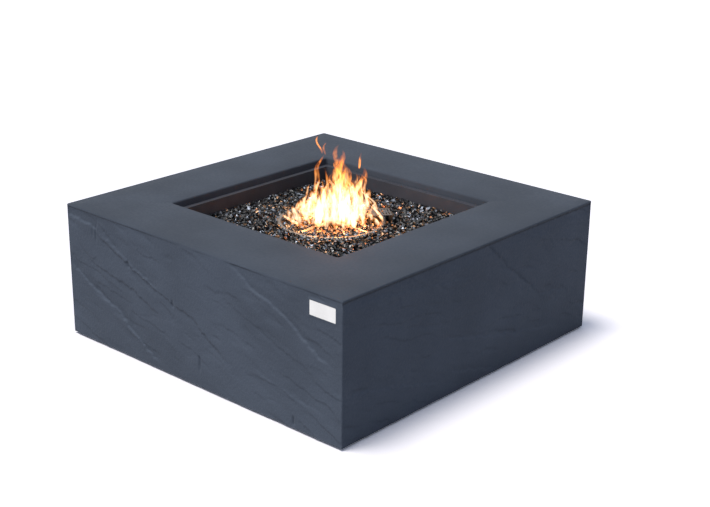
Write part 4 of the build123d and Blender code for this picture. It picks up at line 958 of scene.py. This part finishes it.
# %% Where glass may lie
bed_low, bed_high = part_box("fire_glass_bed")
HEAP_HEIGHT = 9.0
glass_top = bed_high.z / MM - HEAP_HEIGHT / 2
bed_half = bed_high.x / MM
GUARD_RADIUS = 136
GUARD_HALF_DEPTH = 30
GUARD_HALF_WIDTH = 29
guard_angle = math.radians(51)
guard_middle = GUARD_RADIUS * np.array((math.cos(guard_angle), math.sin(guard_angle)))
ring_radius = 144.0
ring_height = 320.5
tube_radius = 8.5
arm_half_width = 5
hub_radius = 18


def in_guard(px, py, margin):
    """Whether a point on the bed lies in the guard's foot print."""
    dx, dy = px - guard_middle[0], py - guard_middle[1]
    radial = dx * math.cos(guard_angle) + dy * math.sin(guard_angle)
    across = -dx * math.sin(guard_angle) + dy * math.cos(guard_angle)
    return (np.abs(radial) < GUARD_HALF_DEPTH + margin) & (np.abs(across) < GUARD_HALF_WIDTH + margin)


def over_burner(px, py, margin):
    """Whether a point lies over the ring, an arm or the hub."""
    radius = np.hypot(px, py)
    on_ring = np.abs(radius - ring_radius) < tube_radius - 2 + margin
    on_arm = (radius < ring_radius) & (np.minimum(np.abs(px), np.abs(py)) < arm_half_width + margin)
    return on_ring | on_arm | (radius < hub_radius + margin)


print("glass lies up to", round(glass_top, 1), "mm, in a square of", round(2 * bed_half), "mm")

# %% Scatter the chips
JITTER = 0.45
SWELL_HEIGHT = 1.6
SWELL_WIDTH = 60
BANK_HEIGHT = 4.5
BANK_WIDTH = 26
CHIP_MARGIN = 2.0


def scatter(spacing, low, high, small, large):
    """Places and sizes of one layer of chips on a jittered grid, banked up along the ring."""
    steps = int(2 * (bed_half - 4) / spacing)
    grid = np.linspace(-bed_half + 5, bed_half - 5, steps)
    px, py = np.meshgrid(grid, grid)
    px = (px + chance.uniform(-JITTER, JITTER, px.shape) * spacing).ravel()
    py = (py + chance.uniform(-JITTER, JITTER, py.shape) * spacing).ravel()
    swell = layered_noise(px / SWELL_WIDTH + 9, py / SWELL_WIDTH + 9, 77, 3)
    pz = chance.uniform(low, high, px.shape) + SWELL_HEIGHT * swell
    size = chance.uniform(small, large, px.shape)
    limit = bed_half - size
    px, py = np.clip(px, -limit, limit), np.clip(py, -limit, limit)
    keep = ~in_guard(px, py, CHIP_MARGIN + size)
    pz += BANK_HEIGHT * np.exp(-(((np.hypot(px, py) - ring_radius) / BANK_WIDTH) ** 2))
    keep &= ~(over_burner(px, py, -3.5) & (pz + size > ring_height))
    return np.column_stack((px, py, pz))[keep], size[keep]


def chips_beside_ring(spacing):
    """Chips that lean on both sides of the ring, so that only its crest shows."""
    places, sizes = [], []
    for side in (-1, 1):
        count = int(2 * math.pi * (ring_radius + 7 * side) / spacing)
        turn = (np.arange(count) + chance.uniform(-0.3, 0.3, count)) * 2 * math.pi / count
        radius = ring_radius + side * chance.uniform(5.5, 8.5, count)
        height = chance.uniform(glass_top + 0.5, glass_top + 2.5, count)
        places.append(np.column_stack((radius * np.cos(turn), radius * np.sin(turn), height)))
        sizes.append(chance.uniform(4.2, 6.0, count))
    places, sizes = np.concatenate(places), np.concatenate(sizes)
    keep = ~in_guard(places[:, 0], places[:, 1], 8.0)
    return places[keep], sizes[keep]


# The spacing of each layer, its lowest and highest chip, and the least and most size, in millimetres
layers = [
    chips_beside_ring(7.5),
    scatter(9.0, glass_top - 14, glass_top - 8, 5.5, 7.5),
    scatter(8.5, glass_top - 8, glass_top - 3, 4.5, 7.0),
    scatter(12.0, glass_top - 4, glass_top, 5.4, 9.2),
]
chip_places = np.concatenate([places for places, sizes in layers])
chip_sizes = np.concatenate([sizes for places, sizes in layers])
print(len(chip_places), "glass chips")

# %% Build the chips as one mesh
MIRROR_SHARE = 0.21
COPPER_SHARE = 0.08
# More copper chips near the middle: a painted warm glow of the firelight, on top of the copper in the mix
COPPER_AS_FIRELIGHT = 0.28
FIRELIGHT_PATCH = 185
HIGHEST_CHIP = 8
all_points, all_faces, finish_index, offset = [], [], [], 0
for place, size in zip(chip_places, chip_sizes):
    points, triangles = shapes[chance.integers(len(shapes))]
    spin = Vector(chance.normal(size=3)).to_track_quat("Z", "Y").to_matrix()
    turned = points @ np.array(Matrix.Rotation(chance.uniform(0, 6.28), 3, "Z") @ spin)
    all_points.append(turned * size + place)
    all_faces.append(triangles + offset)
    # Share of copper chips, raised towards the fire as painted firelight
    firelight_share = math.exp(-((math.hypot(place[0], place[1]) / FIRELIGHT_PATCH) ** 4))
    copper_and_firelight_share = COPPER_SHARE + COPPER_AS_FIRELIGHT * firelight_share
    shares = (1 - MIRROR_SHARE - copper_and_firelight_share, MIRROR_SHARE, copper_and_firelight_share)
    finish_index.append(np.full(len(triangles), chance.choice(3, p=shares)))
    offset += len(points)
chip_points = np.concatenate(all_points)
chip_points[:, 2] = np.minimum(chip_points[:, 2], glass_top + HIGHEST_CHIP)
fire_glass = mesh_piece("fire_glass_chips", chip_points * MM, np.concatenate(all_faces), chip_finishes)
fire_glass.data.polygons.foreach_set("material_index", np.concatenate(finish_index).astype(np.int32))
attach(fire_glass, "fire_pit")
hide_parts("fire_glass_bed")
print("fire glass:", len(fire_glass.data.polygons), "faces")

# %% [markdown]
# ### The settled glass
#
# Deep in the bed nobody sees single chips. A closed lump with an uneven top fills the pan below the loose
# layers, so no gap between chips shows the bare pan. It has a hollow under the guard, where the igniter is.

# %% The settled glass under the top layers
FILL_STEPS = 72
FILL_DEPTH = 13
bed_floor = bed_low.z / MM
grid = np.linspace(-bed_half, bed_half, FILL_STEPS)
fill_x, fill_y = np.meshgrid(grid, grid, indexing="ij")
fill_z = glass_top - FILL_DEPTH + 2.5 * layered_noise(fill_x / 14, fill_y / 14, 5, 2)
fill_z = np.where(in_guard(fill_x, fill_y, 6), bed_floor + 1, fill_z)
top = np.stack((fill_x, fill_y, fill_z), axis=-1).reshape(-1, 3)
bottom = top.copy()
bottom[:, 2] = bed_floor
count = len(top)
index = np.arange(count).reshape(FILL_STEPS, FILL_STEPS)
upper = np.stack((index[:-1, :-1], index[1:, :-1], index[1:, 1:], index[:-1, 1:]), axis=-1).reshape(-1, 4)
rim = np.concatenate((index[0, :-1], index[:-1, -1], index[-1, :0:-1], index[:0:-1, 0]))
sides = np.stack((rim, np.roll(rim, -1), np.roll(rim, -1) + count, rim + count), axis=-1)
fill_points = np.concatenate((top, bottom)) * MM
fill_faces = np.concatenate((upper, upper[:, ::-1] + count, sides))
fill = mesh_piece("fire_glass_fill", fill_points, fill_faces, [materials["black_glass"]])
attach(fill, "fire_pit")
print("settled glass:", len(fill_faces), "faces")

# %% [markdown]
# ## Springs
#
# Two coil springs push the valve stem and the igniter button back out. A coil is one round wire swept along
# a helix, with its end turns closed up so that they sit flat. When a stem or button is pushed in, its spring
# gets shorter; each coil here keeps the length of the CAD spring that it replaces.

# %% Springs
bodies = frame["record"]["behaviour"]["bodies"]
body_of = {node: body for body, nodes in bodies.items() for node in nodes}
WIRE_SIDES = 10
COIL_STEPS = 32
CLOSED_ENDS = 0.5


def coil_points(low, high, turns, wire):
    """Rings of points round a wire that is wound along +Y in a box, all in millimetres."""
    rings = int(turns * COIL_STEPS) + 1
    share, side = np.meshgrid(np.linspace(0, 1, rings), np.arange(WIRE_SIDES), indexing="ij")
    closed = share - CLOSED_ENDS * np.sin(2 * math.pi * share) / (2 * math.pi)
    angle = 2 * math.pi * turns * share
    round_wire = 2 * math.pi * side / WIRE_SIDES
    reach = (high.z - low.z - wire) / 2 + wire / 2 * np.cos(round_wire)
    x = (low.x + high.x) / 2 + reach * np.cos(angle)
    y = low.y + wire / 2 + closed * (high.y - low.y - wire) + wire / 2 * np.sin(round_wire)
    z = (low.z + high.z) / 2 + reach * np.sin(angle)
    return np.stack((x, y, z), axis=-1).reshape(-1, 3)


def coil_spring(name, node, turns, wire):
    """A coil in the place of a CAD spring, on the body that carries it."""
    low, high = (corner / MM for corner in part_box(node))
    points = coil_points(low, high, turns, wire)
    count = len(points)
    ends = [tuple(range(WIRE_SIDES)), tuple(reversed(range(count - WIRE_SIDES, count)))]
    faces = [*tube_faces(count // WIRE_SIDES, WIRE_SIDES), *ends]
    coil = mesh_piece(name, points * MM, faces, [materials["spring_steel"]])
    shade(coil, 50)
    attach(coil, body_of[node])
    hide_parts(node)
    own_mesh(coil)


coil_spring("stem_coil", "stem_spring", turns=5.5, wire=0.9)
coil_spring("button_coil", "button_spring", turns=4.5, wire=0.8)

# %% [markdown]
# ## Floor, sky and lamps
#
# A large pale floor carries the object's soft shadow. The camera, mirrors and glass see it as two white
# matt layers added together with a little glow, which is white in the open and keeps the shadow. All other
# rays meet one plain matt layer, so the floor throws no more light back than a real one. The sky does the
# same: white of strength one for those rays, and a cooler, weaker light on the object. Two soft suns stand
# for softboxes, one overhead and one in front, which makes the front face lighter than the right one.
# Light linking keeps the one in front off the floor, where it would throw a second and longer shadow.

# %% Helpers for floor, sky and fire


def bare_tree(owner, output_kind="ShaderNodeOutputMaterial"):
    """Empty a material or world: returns its tree and its surface input."""
    owner.use_nodes = True
    owner.node_tree.nodes.clear()
    return owner.node_tree, add_node(owner.node_tree, output_kind).inputs["Surface"]


def light_node(tree, kind, **values):
    """A shader node with its sockets set by name, and its result returned."""
    made = add_node(tree, kind)
    for label, value in values.items():
        feed(tree, value, made.inputs[label])
    return made.outputs[0]


def add_shaders(tree, first, second):
    """The light of two shaders added together."""
    made = add_node(tree, "ShaderNodeAddShader")
    feed(tree, first, made.inputs[0])
    feed(tree, second, made.inputs[1])
    return made.outputs[0]


def choose_by_ray(tree, unseen, seen, surface):
    """Show one shader to the camera, mirrors and glass, and another to all other rays."""
    rays = add_node(tree, "ShaderNodeLightPath").outputs
    clear_rays = math_node(tree, "ADD", rays["Is Camera Ray"], rays["Is Glossy Ray"])
    clear_rays = math_node(tree, "ADD", clear_rays, rays["Is Transmission Ray"], clamp=True)
    choose = add_node(tree, "ShaderNodeMixShader")
    for source, socket in zip((clear_rays, unseen, seen), choose.inputs):
        feed(tree, source, socket)
    feed(tree, choose.outputs[0], surface)


# %% Floor
FLOOR_HALF = 30
floor_material = bpy.data.materials.new("pale_floor")
tree, surface = bare_tree(floor_material)
matt = light_node(tree, "ShaderNodeBsdfDiffuse", Color=rgb(0.80, 0.82, 0.87))
layer = light_node(tree, "ShaderNodeBsdfDiffuse", Color=rgb(0.87, 0.83, 0.83))
glow = light_node(tree, "ShaderNodeEmission", Strength=0.03)
seen = add_shaders(tree, add_shaders(tree, layer, layer), glow)
choose_by_ray(tree, matt, seen, surface)
floor_points = [(x * FLOOR_HALF, y * FLOOR_HALF, 0) for x, y in ((-1, -1), (1, -1), (1, 1), (-1, 1))]
floor = mesh_piece("floor", floor_points, [(0, 1, 2, 3)], [floor_material])
print("floor:", 2 * FLOOR_HALF, "m wide")

# %% Sky
scene.world = bpy.data.worlds.new("sky")
tree, surface = bare_tree(scene.world, "ShaderNodeOutputWorld")
ambient = light_node(tree, "ShaderNodeBackground", Color=rgb(0.80, 0.93, 1.22), Strength=0.27)
white = light_node(tree, "ShaderNodeBackground", Color=rgb(1, 1, 1))
choose_by_ray(tree, ambient, white, surface)
print("sky:", len(tree.nodes), "nodes")

# %% Lamps


def add_lamp(name, kind, power, colour, place):
    """A lamp of any kind, placed by a matrix."""
    lamp_data = bpy.data.lights.new(name, kind)
    lamp_data.energy = power
    lamp_data.color = colour
    lamp = bpy.data.objects.new(name, lamp_data)
    lamp.matrix_world = place
    scene.collection.objects.link(lamp)
    return lamp


def soft_sun(name, towards, strength, spread, colour):
    """A sun lamp in the direction of a vector, blurred by its angle in degrees."""
    turn = Vector(towards).to_track_quat("Z", "Y").to_matrix().to_4x4()
    sun = add_lamp(name, "SUN", strength, colour, turn)
    sun.data.angle = math.radians(spread)
    return sun


soft_sun("overhead_softbox", (-0.13, -0.20, 0.95), 1.36, 18, (1.0, 0.98, 0.95))
front_softbox = soft_sun("front_softbox", (-0.14, -0.85, 0.50), 1.58, 28, (1.0, 0.97, 0.93))
kept_dark = bpy.data.collections.new("not lit by the front softbox")
kept_dark.objects.link(floor)
kept_dark.collection_objects[0].light_linking.link_state = "EXCLUDE"
front_softbox.light_linking.receiver_collection = kept_dark
print("lights:", [light.name for light in bpy.data.lights])

# %% [markdown]
# ## Flames
#
# The burning gas is no part of the object, so like the floor it rides on nothing. A gas flame is a bundle
# of thin tongues that rise from the ports of the ring and its arms, lean in towards the middle and sway.
# Each tongue here is a closed leaf-shaped skin. Its shader adds light where the skin is seen face on, which
# is where a real tongue is thickest, so a single tongue is orange with a soft edge, and a bundle of them
# adds up to yellow and white. Many skins lie behind each other, so light paths are allowed to pass through
# more clear surfaces than usual.

# %% Thickness of a tongue
scene.cycles.transparent_max_bounces = 64
FLAME_BASE = 0.327
flame_material = bpy.data.materials.new("flame")
flame_material.cycles.emission_sampling = "NONE"
tree, surface = bare_tree(flame_material)
place = add_node(tree, "ShaderNodeTexCoord").outputs
lick = noise_value(tree, stretched(tree, place["Object"], (80, 80, 24)), 1.0)
streaks = remap(tree, lick, 0.36, 0.62, 0.08, 1.0)
facing = add_node(tree, "ShaderNodeLayerWeight")
facing.inputs["Blend"].default_value = 0.35
face_on = math_node(tree, "SUBTRACT", 1.0, facing.outputs["Facing"])
thickness = times(tree, math_node(tree, "POWER", face_on, 1.4), streaks)
along_tongue = parts_of(tree, place["UV"])["Y"]
tip_fade = remap(tree, along_tongue, 1.0, 0.72)
root_fade = remap(tree, along_tongue, 0.0, 0.10, 0.4, 1.0)
density = times(tree, thickness, times(tree, tip_fade, root_fade))
print("flame thickness:", len(tree.nodes), "nodes")

# %% Heat of a tongue
CORE_START = 0.030
CORE_END = 0.165
height = parts_of(tree, place["Object"])["Z"]
core = remap(tree, height, FLAME_BASE + CORE_END, FLAME_BASE + CORE_START, 0.28, 1.0)
heat = add_node(tree, "ShaderNodeValToRGB")
cool, hot = heat.color_ramp.elements
cool.color = rgb(0.80, 0.16, 0.02)
hot.color = rgb(1.0, 0.74, 0.48)
hot.position = 0.72
heat.color_ramp.elements.new(0.25).color = rgb(1.0, 0.36, 0.07)
feed(tree, times(tree, density, core), heat.inputs[0])
strength = times(tree, density, 0.90)
light = light_node(tree, "ShaderNodeEmission", Color=heat.outputs[0], Strength=strength)
tinted = mix_colour(tree, density, rgb(1, 1, 1), rgb(1.0, 0.86, 0.76))
clear = light_node(tree, "ShaderNodeBsdfTransparent", Color=tinted)
feed(tree, add_shaders(tree, light, clear), surface)
print("flame material:", len(tree.nodes), "nodes")

# %% Tongue shapes
TONGUE_RINGS = 17
TONGUE_SIDES = 10
TONGUE_SWAY = 8
SWAY_HEIGHT = 120
TONGUE_TWIST = 0.7
TONGUE_FLATNESS = 0.6
flame_points, flame_faces, flame_along = [], [], []
draw = np.random.default_rng(21)


def tongue(base, tip, height, width, start=0.0, sway=1.0):
    """Add one leaf-shaped tongue: base and tip in the plane, height and width in millimetres."""
    phase = draw.uniform(0, 2 * math.pi, 2)
    waves = draw.uniform(0.8, 1.5) / 90
    turn = draw.uniform(0, math.pi)
    share, side = np.meshgrid(np.linspace(0, 1, TONGUE_RINGS), np.arange(TONGUE_SIDES), indexing="ij")
    rise = start + (height - start) * share
    drift = sway * TONGUE_SWAY * share * (height / SWAY_HEIGHT) ** 0.5
    radius = width * (share + 0.06) ** 0.45 * (1 - share) ** 0.75 * 1.35 + 0.15
    angle = 2 * math.pi * side / TONGUE_SIDES + TONGUE_TWIST * share
    leaf_x, leaf_y = radius * np.cos(angle), TONGUE_FLATNESS * radius * np.sin(angle)
    x = base[0] + (tip[0] - base[0]) * share**1.3 + drift * np.sin(rise * waves * 6.3 + phase[0])
    y = base[1] + (tip[1] - base[1]) * share**1.3 + drift * np.sin(rise * waves * 5.1 + phase[1])
    x += leaf_x * math.cos(turn) - leaf_y * math.sin(turn)
    y += leaf_x * math.sin(turn) + leaf_y * math.cos(turn)
    first = len(flame_points) * share.size
    flame_faces.extend(tube_faces(TONGUE_RINGS, TONGUE_SIDES, first))
    flame_points.append(np.stack((x, y, rise), axis=-1).reshape(-1, 3))
    flame_along.append(share.ravel())


print("a tongue has", TONGUE_RINGS * TONGUE_SIDES, "points")

# %% The fire's own axes
flame_view = math.radians(42)
across_axis = np.array((math.cos(flame_view), math.sin(flame_view)))
near_axis = np.array((math.sin(flame_view), -math.cos(flame_view)))


def on_fire(across, near):
    """A place in the plane from its distances to the right and towards the front corner."""
    return across * across_axis + near * near_axis


print("to the right is", across_axis.round(2), "and to the front corner", near_axis.round(2))

# %% [markdown]
# ### Three kinds of tongue
#
# The tall tongues that give the fire its outline are placed one by one. Many smaller ones rise from the
# ports of the ring and the arms, each no higher than that outline. Low licks then lie over the left of
# the ring and reach forwards, which is what makes a gas flame look alive.

# %% The tall tongues
# Base to the right and towards the front corner, tip to the right, then the height and width
for across, near, tip_across, height, width in (
    (10, 22, 17, 222, 26),
    (28, 4, 38, 200, 24),
    (-4, 32, -15, 156, 18),
    (4, -12, 1, 140, 20),
    (36, 34, 47, 144, 20),
    (56, 12, 67, 128, 19),
    (66, 26, 84, 146, 18),
    (84, 0, 104, 92, 18),
    (-34, 26, -57, 96, 20),
    (-56, 30, -77, 72, 18),
    (-20, 10, -34, 118, 22),
    (14, 50, 8, 110, 26),
    (40, 48, 48, 100, 24),
    (-30, 54, -40, 70, 22),
    (-74, 10, -99, 52, 16),
    (100, -20, 124, 56, 16),
):
    tongue(on_fire(across, near), on_fire(tip_across, near * 0.6), height, width)
tongue(on_fire(-46, 10), on_fire(-26, 10), 196, 17, start=84, sway=0.8)
tongue(on_fire(74, -10), on_fire(79, -12), 190, 5, start=146, sway=0.5)
tongue(on_fire(-26, 0), on_fire(-40, 0), 240, 8, start=190)
tongue(on_fire(-18, 0), on_fire(-17, 0), 226, 5, start=186)
print(len(flame_points), "tall tongues")

# %% The many small tongues
RING_PORTS = 60
ARM_PORTS = 45
ARM_REACH = (15, 138)
FRONT_LIMIT = 62.0
LEFT_LIMIT = -122.0
LOWEST_TONGUE = 14
NEARER_IS_LOWER = 0.0045
# The fire's outline: millimetres to the right of its middle, and the height of its tips above the ring
outline_across = (-128, -112, -98, -77, -57, -38, -15, 0, 18, 32, 46, 67, 84, 104, 123, 134)
outline_height = (8, 30, 48, 66, 88, 110, 148, 132, 200, 170, 134, 120, 134, 84, 50, 12)
port_angles = draw.uniform(0, 2 * math.pi, RING_PORTS)
ports = [(ring_radius * math.cos(angle), ring_radius * math.sin(angle)) for angle in port_angles]
for number in range(ARM_PORTS):
    for side in (-1, 1):
        reach = side * draw.uniform(*ARM_REACH)
        ports.append((reach, 0) if number % 2 else (0, reach))
for port in np.array(ports):
    across, near = float(port @ across_axis), float(port @ near_axis)
    if near > FRONT_LIMIT or across < LEFT_LIMIT:
        continue
    tip = port * (1 - draw.uniform(0.15, 0.50))
    limit = float(np.interp(float(tip @ across_axis), outline_across, outline_height))
    height = limit * draw.uniform(0.35, 0.95) * (1.0 - NEARER_IS_LOWER * max(near, 0))
    tongue(port * 0.97, tip, max(height, LOWEST_TONGUE), draw.uniform(7, 15))
print(len(flame_points), "tongues with the small ones")

# %% The low licks
LICK_SWAY = 0.7
# Base and tip to the right, both towards the front corner, then the height and width
for across, tip_across, near, tip_near, height, width in (
    (-96, -134, 34, 22, 24, 15),
    (-72, -128, 46, 42, 18, 12),
    (-108, -122, 8, 4, 34, 17),
    (-88, -108, 22, 14, 46, 20),
    (-62, -118, 56, 56, 13, 9),
    (-70, -92, 4, -8, 62, 20),
    (-36, -20, 82, 50, 46, 9),
    (-12, -16, 76, 48, 52, 11),
    (12, 4, 78, 50, 44, 9),
    (32, 36, 72, 44, 58, 13),
    (62, 52, 64, 40, 52, 11),
    (86, 84, 50, 28, 46, 11),
    (70, 86, 10, 2, 158, 24),
    (24, 26, 8, 4, 206, 30),
):
    tongue(on_fire(across, near), on_fire(tip_across, tip_near), height, width, sway=LICK_SWAY)
print(len(flame_points), "tongues with the licks")

# %% Build the fire
fire_points = np.concatenate(flame_points) * MM + np.array((0, 0, FLAME_BASE))
fire = mesh_piece("flames", fire_points, flame_faces, [flame_material])
fire.data.shade_smooth()
tongue_map = fire.data.uv_layers.new(name="along")
corner_points = np.empty(len(fire.data.loops), dtype=np.int32)
fire.data.loops.foreach_get("vertex_index", corner_points)
shares = np.concatenate(flame_along)[corner_points]
tongue_map.data.foreach_set("uv", np.column_stack((np.zeros(len(shares)), shares)).ravel())
fire.visible_shadow = False
fire.visible_diffuse = False
print("flames:", len(flame_faces), "faces")

# %% [markdown]
# ## Glow of the fire
#
# The thin skins themselves light nothing, because hundreds of faint surfaces make noisy light. Small warm
# lamps stand in for them: one high in the fire, and a ring of downlights above the burner, whose cones
# reach the glass round it.

# %% Glow of the fire
GLOW_LAMPS = 9
GLOW_RADIUS = 0.095
GLOW_HEIGHT = 0.356
GLOW_COLOUR = (1.0, 0.42, 0.12)
DOWNLIGHT_CONE = math.radians(150)


def glow_lamp(name, kind, place, power, spread):
    """A warm lamp in the fire, which lights the glass and the pan but is not seen itself."""
    lamp = add_lamp(name, kind, power, GLOW_COLOUR, Matrix.Translation(place))
    lamp.data.shadow_soft_size = spread
    lamp.visible_camera = False
    return lamp.data


glow_lamp("fire_glow_high", "POINT", (0.0, 0.0, 0.440), 0.42, 0.06)
for number in range(GLOW_LAMPS):
    turn = 2 * math.pi * number / GLOW_LAMPS
    place = (GLOW_RADIUS * math.cos(turn), GLOW_RADIUS * math.sin(turn), GLOW_HEIGHT)
    downlight = glow_lamp(f"fire_glow_{number + 1}", "SPOT", place, 0.30, 0.010)
    downlight.spot_size = DOWNLIGHT_CONE
    downlight.spot_blend = 0.5
print(GLOW_LAMPS, "downlights round the ring")
